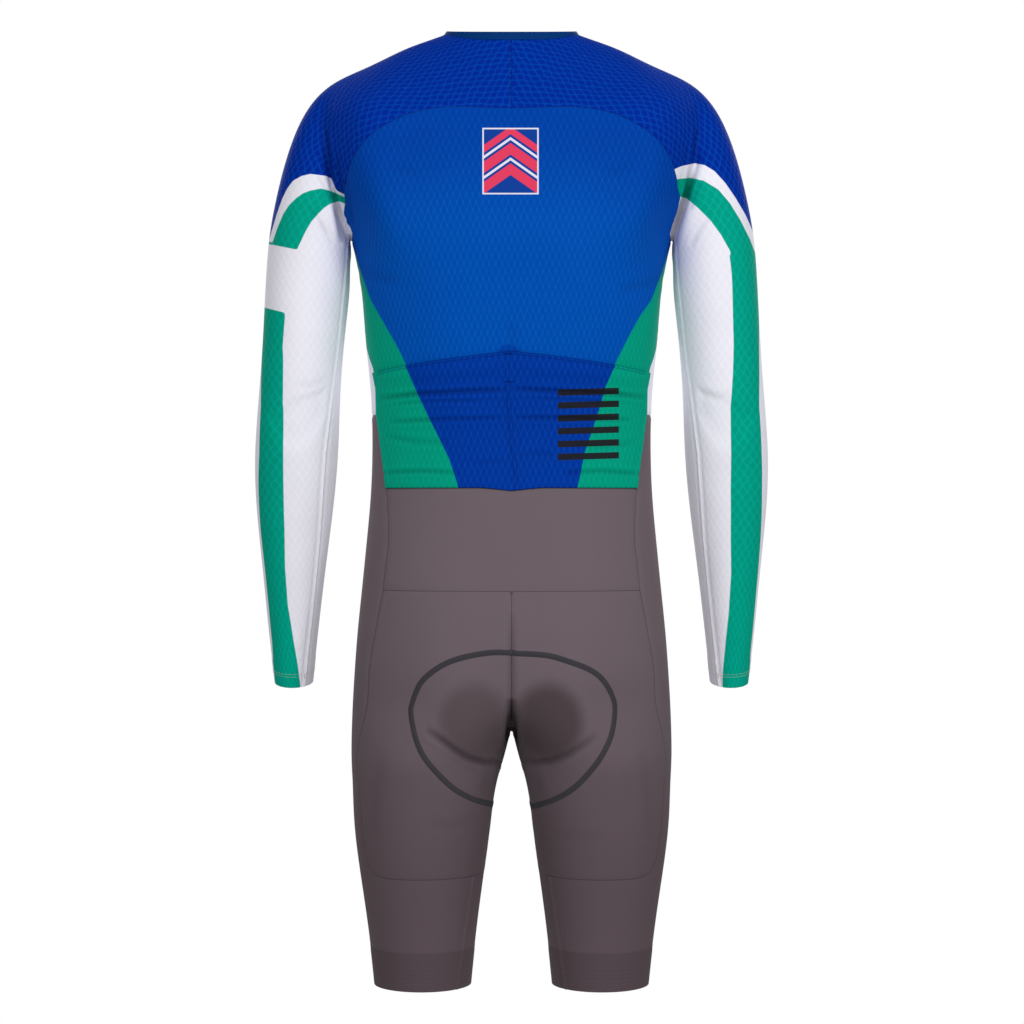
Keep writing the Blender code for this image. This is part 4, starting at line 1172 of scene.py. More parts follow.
# ---------------------------------------------------------------- prints
@dataclass(frozen=True)
class SleevePrint:
    """Print of one sleeve: a blue cap, a green band round it and a stripe down the arm.

    cap and band are closed outlines in the view plane, in front drawn as behind. The stripe is
    given by angles round the arm, 0 on the outer line and 90 at the back.
    """

    cap: tuple[Point2, ...]
    band_behind: tuple[Point2, ...]
    band_before: tuple[Point2, ...]
    stripe_z: tuple[float, ...]
    stripe_outer: tuple[float, ...]
    stripe_inner: tuple[float, ...]
    stripe_top: tuple[Point2, Point2]

    def fields(self, points: Points) -> dict[str, np.ndarray]:
        """Return how far each point lies outside the blue and outside the green, in mm."""
        x, z = STUDIO.plane(points)
        behind = points[:, 1] >= 0.0
        blue = outline_distance(x, z, self.cap)
        band = np.where(behind, outline_distance(x, z, self.band_behind),
                        outline_distance(x, z, self.band_before))
        return {"outside_blue": blue, "outside_green": np.minimum(band, self.stripe(points, x, z))}

    def stripe(self, points: Points, x: np.ndarray, z: np.ndarray) -> np.ndarray:
        """Return how far each point lies outside the stripe."""
        rings = [((ring.outer_z + ring.inner_z) / 2.0, (ring.outer_x + ring.inner_x) / 2.0,
                  (ring.outer_x - ring.inner_x) / 2.0, ring.y, ring.half_depth) for ring in SLEEVE]
        height, middle, half_width, depth, half_depth = np.array(sorted(rings)).T

        def at(values: np.ndarray) -> np.ndarray:
            """Read a ring's size at each point's height."""
            return np.interp(points[:, 2], height, values)

        outward = (np.abs(points[:, 0]) - at(middle)) / at(half_width)
        backward = (points[:, 1] - at(depth)) / at(half_depth)
        angle = np.degrees(np.arctan2(backward, outward))
        angle = np.where(angle < -135.0, angle + 360.0, angle)
        rise = np.array(self.stripe_z)[::-1]
        outer = np.interp(points[:, 2], rise, self.stripe_outer[::-1])
        inner = np.interp(points[:, 2], rise, self.stripe_inner[::-1])
        radius = np.radians(1.0) * 0.5 * (at(half_width) + at(half_depth))
        beside = np.maximum(angle - inner, outer - angle) * radius
        (x0, z0), (x1, z1) = self.stripe_top
        above = z - (z0 + (z1 - z0) * (x - x0) / (x1 - x0))
        return np.maximum(beside, above)


LEFT_BAND = ((180, -127), (188, -124), (196, -122), (207, -124), (215, -127), (222, -132),
             (229, -139), (235, -148), (241, -162), (246, -177), (270, -176), (270, -178),
             (246, -180), (221, -185), (212, -166), (206, -156), (199, -148), (193, -142))
RIGHT_BAND_TOP = ((-150, -122), (-172, -112), (-185, -111), (-198, -114), (-213, -123),
                  (-225, -137), (-236, -155), (-246, -175), (-253, -194), (-270, -214))
RIGHT_BAND_LOW = ((-225, -186), (-216, -170), (-205, -155), (-192, -142))
LEFT_PRINT = SleevePrint(
    cap=((262, -215), (254, -190), (247, -166), (242, -149), (236, -132), (231, -122), (225, -114),
         (216, -109), (207, -107), (191, -109), (185, -112), (183, -118), (180.5, -124),
         (166, -131), (150, -136), (-40, -136), (-40, 60), (290, 60), (290, -215)),
    band_behind=((150, -142), *LEFT_BAND, (187, -138), (178, -135), (150, -146)),
    band_before=((150, -138), *LEFT_BAND, (187, -139), (178, -139), (150, -152)),
    stripe_z=(-235.0, -270.0, -288.0, -301.0, -348.0, -395.0, -434.0, -473.0, -512.0, -551.0,
              -591.0, -612.0, -640.0),
    stripe_outer=(-14.0, -6.0, 3.0, 12.0, 27.0, 31.0, 28.0, 26.0, 29.0, 31.0, 32.0, 25.0, 22.0),
    stripe_inner=(66.0, 65.0, 65.0, 67.5, 71.5, 76.0, 77.5, 79.0, 79.0, 83.0, 96.0, 105.0, 116.0),
    stripe_top=((233.0, -250.0), (253.0, -245.0)),
)
RIGHT_PRINT = SleevePrint(
    cap=((40, 60), (40, -110), (-150, -110), (-175, -99), (-189, -96), (-199, -98), (-209, -104),
         (-220, -116), (-231, -132), (-241, -149), (-248, -165), (-256, -192), (-262, -215),
         (-290, -215), (-290, 60)),
    band_behind=(*RIGHT_BAND_TOP, (-270, -240), (-228, -240), (-228, -198), *RIGHT_BAND_LOW,
                 (-180, -132), (-150, -124)),
    band_before=(*RIGHT_BAND_TOP, (-270, -236), (-252, -222), (-238, -206), *RIGHT_BAND_LOW,
                 (-180, -134), (-150, -130)),
    stripe_z=(-200.0, -228.0, -254.0, -285.0, -314.0, -348.0, -395.0, -434.0, -480.0, -520.0,
              -559.0, -598.0, -622.0, -640.0),
    stripe_outer=(-20.0, -6.0, 9.0, 21.0, 28.0, 36.0, 37.0, 36.0, 31.0, 28.0, 28.0, 28.0, 20.0,
                  18.0),
    stripe_inner=(70.0, 71.0, 73.0, 75.0, 79.0, 85.0, 88.0, 90.0, 91.0, 91.0, 96.0, 106.0, 113.0,
                  116.0),
    stripe_top=((-228.0, -190.0), (-258.0, -190.0)),
)


@dataclass(frozen=True)
class BackPrint:
    """Print of the back and the pockets: green wedges at the sides."""

    left: tuple[Point2, ...] = (
        (180, -168), (164, -180), (155, -208), (145, -237), (133, -258), (122, -277), (113, -294),
        (105, -312), (96, -333), (84, -359), (73, -381), (64, -400), (59, -415), (54, -432),
        (50, -450), (180, -450))
    right: tuple[Point2, ...] = (
        (-180, -168), (-164, -180), (-155, -208), (-144, -237), (-132, -254), (-121, -274),
        (-113, -290), (-104, -308), (-96, -326), (-89, -351), (-84, -366), (-75, -393),
        (-70, -419), (-67, -432), (-64, -450), (-180, -450))

    def fields(self, points: Points) -> dict[str, np.ndarray]:
        """Return how far each point lies outside the green, in mm."""
        x, z = STUDIO.plane(points)
        wedges = [outline_distance(x, z, outline) for outline in (self.left, self.right)]
        return {"outside_green": np.minimum(*wedges)}


@dataclass(frozen=True)
class NoPrint:
    """Cloth of one colour."""

    def fields(self, points: Points) -> dict[str, np.ndarray]:
        """Return nothing."""
        return {}


# ---------------------------------------------------------------- cloth panels
@dataclass
class Form:
    """Points of one panel with what is known at each, and the triangles between them."""

    points: Points
    normals: Points
    seam_gap: np.ndarray
    fold: np.ndarray
    triangles: np.ndarray

    def finer(self) -> "Form":
        """Return the form with every triangle parted into four."""
        corners = self.triangles
        edges = np.sort(sides_of(corners), axis=1)
        once, number = np.unique(edges, axis=0, return_inverse=True)
        ab, bc, ca = number.reshape(3, -1) + len(self.points)
        a, b, c = corners.T
        parts = ((a, ab, ca), (ab, b, bc), (ca, bc, c), (ab, bc, ca))
        made = [np.concatenate((values, 0.5 * (values[once[:, 0]] + values[once[:, 1]])))
                for values in (self.points, self.normals, self.seam_gap, self.fold)]
        made[1] /= np.linalg.norm(made[1], axis=1)[:, None]
        return Form(*made, np.concatenate([np.stack(part, axis=1) for part in parts]))


def add_mesh(name: str, points: Points, faces: list, chart: Points) -> bpy.types.Object:
    """Add an object from places in mm, with its chart in mm as a UV map."""
    mesh = bpy.data.meshes.new(name)
    mesh.from_pydata((points * MM).tolist(), [], faces)
    mesh.update()
    mesh.shade_smooth()
    mesh.set_sharp_from_angle(angle=CLOTH_SHARP)
    corners = np.empty(len(mesh.loops), dtype=np.int64)
    mesh.loops.foreach_get("vertex_index", corners)
    layer = mesh.uv_layers.new(name="knit")
    layer.data.foreach_set("uv", (chart[corners] / CHART_UNIT).astype(np.float32).ravel())
    made = bpy.data.objects.new(name, mesh)
    bpy.context.scene.collection.objects.link(made)
    return made


@dataclass
class Panel:
    """One piece of cloth as a thin wall."""

    name: str
    held: Finish
    flat: tuple[float, float]
    area: float
    node: str = ""
    level: int = 4
    lift: float = 0.0
    wall: float = 1.1
    raglan: bool = False
    slit: Line | None = None
    print_plan: SleevePrint | BackPrint | NoPrint = NoPrint()
    shell: bpy.types.Object | None = None
    outer: Points | None = None
    triangles: np.ndarray | None = None

    def choose(self, cloth: Cloth) -> np.ndarray:
        """Return which triangles belong to the panel."""
        return cloth.names == self.node

    def form(self, cloth: Cloth) -> Form:
        """Return the panel's part of the cloth, parted along its own seam."""
        chosen = self.choose(cloth)
        corners = cloth.triangles[chosen]
        if self.slit:
            parted = (cloth.lines[corners] & self.slit.value) > 0
            corners = corners + len(cloth.points) * (parted & cloth.beyond[chosen][:, None])
        source, triangles = np.unique(corners, return_inverse=True)
        source = source % len(cloth.points)
        return Form(cloth.points[source], cloth.normals[source], cloth.seam_gap[source],
                    cloth.fold[source], triangles.reshape(-1, 3))

    def build(self, cloth: Cloth) -> bpy.types.Object:
        """Make the panel from its part of the suit's cloth.

        Args:
            cloth: the whole suit at this panel's fineness.

        Returns:
            The panel's object.
        """
        form = self.form(cloth)
        points, normals, triangles = form.points, form.normals, form.triangles
        outer = points + self.lift * normals
        self.outer, self.triangles = outer, triangles
        inner = outer - self.wall * normals
        count = len(points)
        a, b = open_edges(triangles).T
        faces = np.concatenate((triangles, triangles[:, ::-1] + count,
                                np.stack((b, a, a + count), axis=1),
                                np.stack((b, a + count, b + count), axis=1)))
        places = GRAIN.chart(points, normals, triangles, self.raglan)
        self.shell = add_mesh(self.name, np.concatenate((outer, inner)), faces.tolist(),
                              np.concatenate((places, places)))
        x, z = STUDIO.plane(points)
        layers = {"view_x": x, "view_z": z, "seam_gap": form.seam_gap, "fold": form.fold,
                  **self.print_plan.fields(points)}
        for name, values in layers.items():
            layer = self.shell.data.attributes.new(name, "FLOAT", "POINT")
            layer.data.foreach_set("value", np.concatenate((values, values)).astype(np.float32))
        return self.shell

    def dress(self, material: bpy.types.Material) -> None:
        """Give the panel its cloth, hide the part it stands for, and let it ride on the suit's
        body.
        """
        self.shell.data.materials.append(material)
        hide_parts(self.node)
        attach(self.shell, SUIT)


@dataclass
class PocketPanel(Panel):
    """The pockets' panel, which lies on the back panel below the pockets' top hem."""

    def choose(self, cloth: Cloth) -> np.ndarray:
        """Return which triangles belong to the pockets."""
        return cloth.on_pocket

    def form(self, cloth: Cloth) -> Form:
        """Return the pockets' form at twice the fineness, with its slumped folds."""
        form = super().form(cloth).finer()
        x, z = STUDIO.plane(form.points)
        facing = np.ones(len(x))
        folds = sum(crease.relief(x, z, facing) for crease in POCKET_FOLDS)
        height = folds + RELIEF.behind_pockets(form.points)
        form.points = form.points + form.normals * height[:, None]
        form.fold = form.fold + folds
        return form


# ---------------------------------------------------------------- materials
Colour = tuple[float, float, float]
Socket = bpy.types.NodeSocket


def linear(colour: Colour) -> tuple[float, float, float, float]:
    """Return a display colour from 0 to 255 as linear light, with full alpha."""
    share = [value / 255.0 for value in colour]
    light = [value / 12.92 if value <= 0.04045 else ((value + 0.055) / 1.055) ** 2.4
             for value in share]
    return (*light, 1.0)


class Signal:
    """A value in a node tree; arithmetic on it adds Math nodes."""

    def __init__(self, nodes: "Nodes", socket: Socket) -> None:
        """Keep the value's socket and the nodes it belongs to."""
        self.nodes = nodes
        self.socket = socket

    def __add__(self, other: object) -> "Signal":
        """Add a value."""
        return self.nodes.math("ADD", self, other)

    def __sub__(self, other: object) -> "Signal":
        """Take a value away."""
        return self.nodes.math("SUBTRACT", self, other)

    def __rsub__(self, other: object) -> "Signal":
        """Take the signal away from a number."""
        return self.nodes.math("SUBTRACT", other, self)

    def __mul__(self, other: object) -> "Signal":
        """Multiply by a value."""
        return self.nodes.math("MULTIPLY", self, other)

    def __truediv__(self, other: object) -> "Signal":
        """Divide by a value."""
        return self.nodes.math("DIVIDE", self, other)

    def __pow__(self, other: object) -> "Signal":
        """Raise to a power."""
        return self.nodes.math("POWER", self, other)

    def __abs__(self) -> "Signal":
        """Drop the sign."""
        return self.nodes.math("ABSOLUTE", self)

    def step(self, low: float, high: float) -> "Signal":
        """Rise smoothly from 0 at low to 1 at high; low may be above high."""
        swapped = low > high
        return self.nodes.put("MapRange", {"Value": self, "From Min": min(low, high),
                                           "From Max": max(low, high), "To Min": float(swapped),
                                           "To Max": float(not swapped)},
                              "Result", interpolation_type="SMOOTHSTEP")

    def between(self, low: float, high: float, soft: float) -> "Signal":
        """Return 1 between two values and 0 outside them, with soft edges."""
        return self.step(low - soft, low + soft) * self.step(high + soft, high - soft)

    def wave(self, size: float) -> "Signal":
        """Return a wave that is 0 at each multiple of a size and 1 halfway between."""
        return abs(self.nodes.math("SINE", self * (math.pi / size)))


class Nodes:
    """Short hand for laying out shader nodes in a tree."""

    def __init__(self, tree: bpy.types.NodeTree) -> None:
        """Keep the tree that the nodes go into."""
        self.tree = tree
        self.count = 0

    def add(self, kind: str, **settings: object) -> bpy.types.Node:
        """Add a node and set its properties."""
        node = self.tree.nodes.new("ShaderNode" + kind)
        node.location = (180.0 * (self.count % 12), -220.0 * (self.count // 12))
        self.count += 1
        for name, value in settings.items():
            setattr(node, name, value)
        return node

    def feed(self, socket: Socket, value: object) -> None:
        """Link a socket to a signal, or give it a number or a colour."""
        if isinstance(value, Signal):
            self.tree.links.new(value.socket, socket)
        elif value is not None:
            socket.default_value = value

    def put(self, kind: str, inputs: dict, output: str | int = 0, **settings: object) -> Signal:
        """Add a node and feed it.

        Args:
            kind: the node's type.
            inputs: values by the name or number of an input.
            output: name or number of the output that is wanted.
            settings: the node's properties.

        Returns:
            That output.
        """
        node = self.add(kind, **settings)
        for place, value in inputs.items():
            self.feed(node.inputs[place], value)
        return Signal(self, node.outputs[output])

    def math(self, operation: str, *values: object) -> Signal:
        """Add a Math node."""
        return self.put("Math", dict(enumerate(values)), operation=operation)

    def mix(self, factor: object, first: object, second: object, blend: str = "MIX") -> Signal:
        """Mix two colours."""
        return self.put("Mix", {0: factor, 6: first, 7: second}, 2, data_type="RGBA",
                        blend_type=blend)

    def noise(self, vector: Signal, scale: float, detail: float = 2.0,
              rough: float = 0.5) -> Signal:
        """Add a noise texture and return its value."""
        return self.put("TexNoise", {"Vector": vector, "Scale": scale, "Detail": detail,
                                     "Roughness": rough}, "Fac")

    def layer(self, name: str) -> Signal:
        """Read a piece's own attribute."""
        return self.put("Attribute", {}, "Fac", attribute_name=name)

    def place(self) -> Signal:
        """Read Object coordinates, in metres."""
        return self.put("TexCoord", {}, "Object")

    def axis(self, vector: Signal, name: str) -> Signal:
        """Read one axis of a vector."""
        return self.put("SeparateXYZ", {0: vector}, name)

    def chart(self) -> tuple[Signal, Signal, Signal]:
        """Read the knit chart: its vector, and the places across and along in mm."""
        vector = self.put("UVMap", {}, "UV", uv_map="knit")
        return vector, self.axis(vector, "X") * CHART_UNIT, self.axis(vector, "Y") * CHART_UNIT

    def use(self, group: bpy.types.NodeTree, **inputs: object) -> dict[str, Signal]:
        """Place a node group, feed its inputs and return its outputs by name."""
        node = self.add("Group", node_tree=group)
        for name, value in inputs.items():
            self.feed(node.inputs[name], value)
        return {socket.name: Signal(self, socket) for socket in node.outputs}


class Group(Nodes):
    """A node group in the making, whose inputs are read by name."""

    def __init__(self, name: str, inputs: dict[str, float | None], outputs: Sequence[str]) -> None:
        """Start a node group.

        Args:
            name: the group's name.
            inputs: each input's name and its value, or None for a colour.
            outputs: names of the outputs; Colour is a colour.
        """
        super().__init__(bpy.data.node_groups.new(name, "ShaderNodeTree"))
        for label, value in inputs.items():
            kind = "NodeSocketColor" if value is None else "NodeSocketFloat"
            socket = self.tree.interface.new_socket(name=label, in_out="INPUT", socket_type=kind)
            if value is not None:
                socket.default_value = value
        for label in outputs:
            kind = "NodeSocketColor" if label == "Colour" else "NodeSocketFloat"
            self.tree.interface.new_socket(name=label, in_out="OUTPUT", socket_type=kind)
        self.given = self.tree.nodes.new("NodeGroupInput")
        self.made = self.tree.nodes.new("NodeGroupOutput")

    def __getitem__(self, name: str) -> Signal:
        """Return an input."""
        return Signal(self, self.given.outputs[name])

    def give(self, **values: Signal) -> bpy.types.NodeTree:
        """Feed the group's outputs and return the group."""
        for name, value in values.items():
            self.feed(self.made.inputs[name], value)
        return self.tree


class Look(Nodes):
    """A material in the making: the nodes before its shader."""

    def __init__(self, name: str, **plain: float) -> None:
        """Start a material; plain numbers go on its shader, their names with _ for spaces."""
        self.material = bpy.data.materials.new(name)
        self.material.use_nodes = True
        super().__init__(self.material.node_tree)
        self.shader = self.tree.nodes["Principled BSDF"]
        for label, value in plain.items():
            self.shader.inputs[label.replace("_", " ")].default_value = value

    def finish(self, colour: object, roughness: Signal | None = None,
               *heights: tuple[Signal, float, float]) -> bpy.types.Material:
        """Feed the shader.

        Args:
            colour: the base colour.
            roughness: the roughness, or None to keep the plain one.
            heights: value, strength and distance in metres of each bump.

        Returns:
            The finished material.
        """
        self.feed(self.shader.inputs["Base Color"], colour)
        self.feed(self.shader.inputs["Roughness"], roughness)
        normal = None
        for value, strength, distance in heights:
            normal = self.put("Bump", {"Height": value, "Strength": strength,
                                       "Distance": distance, "Normal": normal}, "Normal")
        self.feed(self.shader.inputs["Normal"], normal)
        return self.material


def diamond_knit() -> bpy.types.NodeTree:
    """Build the group for a knit of diamonds: openwork lines round darker cells.

    Its Lines output is 1 on the lines and 0 in the cells, and Height is for bump.
    """
    group = Group("diamond knit", {"Across": 0.0, "Along": 0.0, "Width": 6.2, "Length": 15.4,
                                   "Round": 0.0, "Sway": 0.0}, ("Lines", "Knots", "Height"))
    place = group.put("CombineXYZ", {"X": group["Across"], "Y": group["Along"]})
    swayed = []
    for label, size, depth in (("Across", "Width", 0.0), ("Along", "Length", 50.0)):
        shifted = group.put("VectorMath", {0: place, 1: (0.0, 0.0, depth)}, operation="ADD")
        off = (group.noise(shifted, 0.07, 1.0) - 0.5) * group["Sway"]
        swayed.append((off + group[label]) / group[size])
    across, along = swayed
    turns = [group.math("COSINE", turn * (2.0 * math.pi))
             for turn in (across + along, across - along)]
    net = group.math("MAXIMUM", *turns)
    waves = (turns[0] + turns[1]) * 0.5
    straight, oval = net.step(0.45, 1.0), waves.step(-0.55, 0.45)
    lines = straight * (1.0 - group["Round"]) + oval * group["Round"]
    knots = waves.step(0.45, 0.95)
    return group.give(Lines=lines, Knots=knots, Height=knots * 0.4 + lines)


def stitch_grain() -> bpy.types.NodeTree:
    """Build the group for the fine loops of a knit: columns of small chevrons."""
    group = Group("stitch grain", {"Across": 0.0, "Along": 0.0, "Gauge": 0.9}, ("Loops",))
    across = group["Across"] / group["Gauge"]
    row = (group["Along"] / group["Gauge"]) * 1.3 + group.math("PINGPONG", across, 0.5)
    return group.give(Loops=across.wave(1.0) * row.wave(1.0) ** 0.6)


def dye() -> bpy.types.NodeTree:
    """Build the group for a dyed knit: ground and line colours, uneven over the cloth."""
    group = Group("dye", {"Ground": None, "Line": None, "Lines": 0.0, "Uneven": 0.0}, ("Colour",))
    even = group.mix(group["Lines"], group["Ground"], group["Line"])
    tone = (group["Uneven"] - 0.5) * 0.1 + 1.0
    shade = group.put("CombineColor", {"Red": tone, "Green": tone, "Blue": tone})
    return group.give(Colour=group.mix(1.0, even, shade, "MULTIPLY"))


@dataclass(frozen=True)
class Dye:
    """Ground and line colour of a printed knit, in display values."""

    ground: Colour
    line: Colour


@dataclass(frozen=True)
class Stitch:
    """A knit: its diamonds in mm, how round they are and how far they sway, and its loops' gauge.

    The cloud is the scale at which its dye is uneven.
    """

    width: float
    length: float
    roundness: float
    sway: float
    gauge: float
    cloud: float


BACK_BLUE = Dye((0, 75, 172), (0, 90, 184))
POCKET_BLUE = Dye((0, 50, 150), (0, 66, 164))
SLEEVE_BLUE = Dye((0, 40, 148), (0, 62, 164))
GREEN = Dye((0, 150, 121), (0, 163, 136))
SLEEVE_GREEN = Dye((0, 155, 130), (0, 168, 147))
WHITE = Dye((234, 233, 243), (238, 237, 246))
GREY = Dye((106, 94, 100), (112, 100, 106))
LOW_GREY = (84, 72, 77)
HEM_GREY = (66, 56, 60)
FLECK_GREY = (70, 60, 66)
# painted shade over the lobes of the seat pad
PAD_SHADE_GREY = (64, 54, 56)
SEAM_SHADE = (14, 16, 34)
TROUGH_SHADE = (10, 12, 30)
INK_BLACK = (33, 33, 37)
INK_BLUE = (18, 62, 150)
INK_RED = (224, 62, 96)
INK_WHITE = (226, 224, 236)
# painted shadow where the back goes down into the pockets' mouth
POCKET_SHADOW_BLUE = (0, 42, 146)

BACK_KNIT = Stitch(6.2, 15.4, 0.0, 1.6, 0.75, 1.6)
FRONT_KNIT = Stitch(6.2, 15.4, 0.0, 0.0, 0.75, 1.6)
RAGLAN_KNIT = Stitch(7.9, 12.8, 0.3, 5.5, 0.8, 2.0)


@dataclass(frozen=True)
class Oval:
    """A patch of the view plane; its edge fades between two squared shares of its size."""

    centre: Point2
    size: Point2
    edge: Point2


@dataclass(frozen=True)
class Ribs:
    """The gripper's ribs inside the hem, in mm of height."""

    low: float = -936.5
    high: float = -912.5
    soft: float = 1.5
    pitch: float = 4.2


# ovals of painted shade over the pad's lobes and of painted shadow at the pockets' mouth
PAD_LOBE = Oval((38.0, -672.0), (40.0, 45.0), (1.2, 0.35))
POCKET_GAP = Oval((3.0, -290.5), (13.0, 9.0), (1.15, 0.35))
POCKET_HEM_Z = (-291.8, -290.6)
SHOULDER_Z = (-170.0, -50.0)
SHOULDER_TINT = (1.0, 0.655, 0.834, 1.0)
GREY_SHADES = (((-560.0, -860.0), 0.8, LOW_GREY), ((-901.0, -903.5), 0.4, HEM_GREY))


@dataclass(frozen=True)
class Bars:
    """Six level bars on the right-hand pocket, in the view plane, rising a little outwards."""

    low: Point2 = (-109.5, -405.3)
    high: Point2 = (-47.5, -325.5)
    inner_x: float = -48.0
    pitch: float = 13.3
    tilt: float = 0.03
    edge: Point2 = (0.262, 0.236)
    cover: float = 0.985


@dataclass(frozen=True)
class Figure:
    """Chevrons in a white frame between the shoulder blades, each from a height to a height."""

    low: Point2 = (-28.0, -128.0)
    high: Point2 = (30.0, -59.5)
    rim: float = 1.5
    slope: float = 0.7
    soft: float = 0.25
    chevrons: tuple[tuple[float, float, Colour], ...] = (
        (20.0, 32.0, INK_RED), (35.0, 38.0, INK_WHITE), (41.0, 53.0, INK_RED),
        (56.0, 59.0, INK_WHITE), (62.0, 70.0, INK_RED))


@dataclass
class Cloths:
    """The materials of the cloth, each made once."""

    knit: bpy.types.NodeTree
    grain: bpy.types.NodeTree
    dye: bpy.types.NodeTree

    def start(self, name: str, roughness: float, sheen: float = 0.006) -> Look:
        """Start a cloth material."""
        return Look(name, Roughness=roughness, Sheen_Weight=sheen, Sheen_Roughness=0.5,
                    Specular_IOR_Level=0.02)

    def knitted(self, look: Look, stitch: Stitch) -> tuple[dict[str, Signal], Signal, Signal]:
        """Lay a knit on the chart.

        Args:
            look: the material.
            stitch: the knit.

        Returns:
            The outputs of the diamonds, the fine loops, and how uneven the dye is.
        """
        vector, across, along = look.chart()
        knit = look.use(self.knit, Across=across, Along=along, Width=stitch.width,
                        Length=stitch.length, Round=stitch.roundness, Sway=stitch.sway)
        loops = look.use(self.grain, Across=across, Along=along, Gauge=stitch.gauge)["Loops"]
        return knit, loops, look.noise(vector, stitch.cloud, 3.0)

    def dyed(self, look: Look, colours: Dye, lines: Signal, uneven: Signal) -> Signal:
        """Return a dye's colour over the knit."""
        return look.use(self.dye, Ground=linear(colours.ground), Line=linear(colours.line),
                        Lines=lines, Uneven=uneven)["Colour"]

    def printed(self, look: Look, colour: Signal, layer: str, soft: float, ink: Signal) -> Signal:
        """Print an ink inside the outline that a layer gives the distance to."""
        return look.mix(look.layer(layer).step(soft, -soft), colour, ink)

    def seams_and_fold_shade(self, look: Look, colour: Signal, seam: float = 0.4, fold: float = 0.13) -> Signal:
        """Darken a colour in the seams, where two pieces meet, and paint shade into the troughs of
        the folds.

        Args:
            look: the material.
            colour: the colour of the open cloth.
            seam: how dark the seam's line is, from 0 to 1.
            fold: how much painted shade a trough gets for each millimetre of its depth.

        Returns:
            The darkened colour.
        """
        # painted shade in the troughs of the folds, deeper as the fold is deeper
        trough = look.math("MAXIMUM", look.layer("fold") * -fold, 0.0)
        colour = look.mix(look.math("MINIMUM", trough, 0.55), colour, linear(TROUGH_SHADE))
        return look.mix(look.layer("seam_gap").step(0.75, 0.2) * seam, colour, linear(SEAM_SHADE))

    def patch(self, look: Look, x: Signal, oval: Oval) -> Signal:
        """Mask an oval patch of the view plane."""
        across = (x - oval.centre[0]) / oval.size[0]
        up = (look.layer("view_z") - oval.centre[1]) / oval.size[1]
        return (across * across + up * up).step(*oval.edge)

    def pad_shade(self, look: Look, colour: Signal) -> Signal:
        """Paint shade on the grey over the two lobes of the pad, more on the right."""
        # painted shade over each lobe, on the back only, deeper on the right
        lobe = self.patch(look, abs(look.layer("view_x")), PAD_LOBE)
        lobe = lobe * look.axis(look.place(), "Y").step(0.01, 0.03)
        right = look.layer("view_x").step(6.0, -6.0)
        return look.mix(lobe * (right * 0.3 + 0.45), colour, linear(PAD_SHADE_GREY))

    def pocket_shade(self, look: Look, colour: Signal) -> Signal:
        """Paint shadow on the blue where the back goes down into the pockets beside their divider.
        """
        gap = self.patch(look, look.layer("view_x"), POCKET_GAP)
        above = look.layer("view_z").step(*POCKET_HEM_Z)
        return look.mix(gap * 0.5 * above, colour, linear(POCKET_SHADOW_BLUE))

    def shoulder_shade(self, look: Look, colour: Signal) -> Signal:
        """Deepen the back's blue towards the yoke and the armholes."""
        side = look.math("MAXIMUM", abs(look.layer("view_x")) - 60.0, 0.0)
        rise = side * 0.35 + look.layer("view_z")
        return look.mix(rise.step(*SHOULDER_Z), colour, SHOULDER_TINT, "MULTIPLY")

    def box_mask(self, look: Look, low: Point2, high: Point2, tilt: float = 0.0) -> Signal:
        """Mask an upright rectangle of the view plane, its level edges tilted."""
        x, soft = look.layer("view_x"), Figure.soft
        z = (x - low[0]) * tilt + look.layer("view_z")
        return x.between(low[0], high[0], soft) * z.between(low[1], high[1], soft)

    def bars(self, look: Look, colour: Signal, plan: Bars = Bars()) -> Signal:
        """Print the bars."""
        run = (look.layer("view_x") - plan.inner_x) * plan.tilt + look.layer("view_z")
        share = look.math("FRACT", (run - plan.low[1]) / plan.pitch)
        bar = abs(share - 0.5).step(*plan.edge)
        inked = bar * self.box_mask(look, plan.low, plan.high, plan.tilt)
        return look.mix(inked * plan.cover, colour, linear(INK_BLACK))

    def framed_figure(self, look: Look, colour: Signal, plan: Figure = Figure()) -> Signal:
        """Print the white frame and the chevrons inside it."""
        low, high, rim = plan.low, plan.high, plan.rim
        bend = abs(look.layer("view_x") - 0.5 * (low[0] + high[0]))
        rise = bend * plan.slope + (look.layer("view_z") - low[1])
        figure: object = linear(INK_BLUE)
        for start, end, ink in plan.chevrons:
            figure = look.mix(rise.between(start, end, plan.soft), figure, linear(ink))
        colour = look.mix(self.box_mask(look, low, high), colour, linear(INK_WHITE))
        inner = self.box_mask(look, (low[0] + rim, low[1] + rim), (high[0] - rim, high[1] - rim))
        return look.mix(inner, colour, figure)

    def jersey(self, name: str, blue: Dye) -> bpy.types.Material:
        """The back's fine knit: royal blue, green at the sides, bars and a framed figure.

        Args:
            name: the material's name.
            blue: the blue of the back, or the deeper one of the pockets.

        Returns:
            The material.
        """
        look = self.start(name, 0.62)
        knit, loops, uneven = self.knitted(look, BACK_KNIT)
        lines = knit["Knots"] * 0.55 + knit["Lines"] * 0.45
        colour = self.shoulder_shade(look, self.dyed(look, blue, lines, uneven))
        green = self.dyed(look, GREEN, lines, uneven)
        colour = self.printed(look, colour, "outside_green", 0.35, green)
        # pocket_shade paints shadow into the pockets' mouth and the last step paints shade into the
        # folds' troughs; bars and figure are print
        for shade in (self.bars, self.framed_figure, self.pocket_shade, self.seams_and_fold_shade):
            colour = shade(look, colour)
        return look.finish(colour, lines * -0.08 + 0.66,
                           (knit["Height"], 0.22, 0.0004), (loops, 0.2, 0.0002))

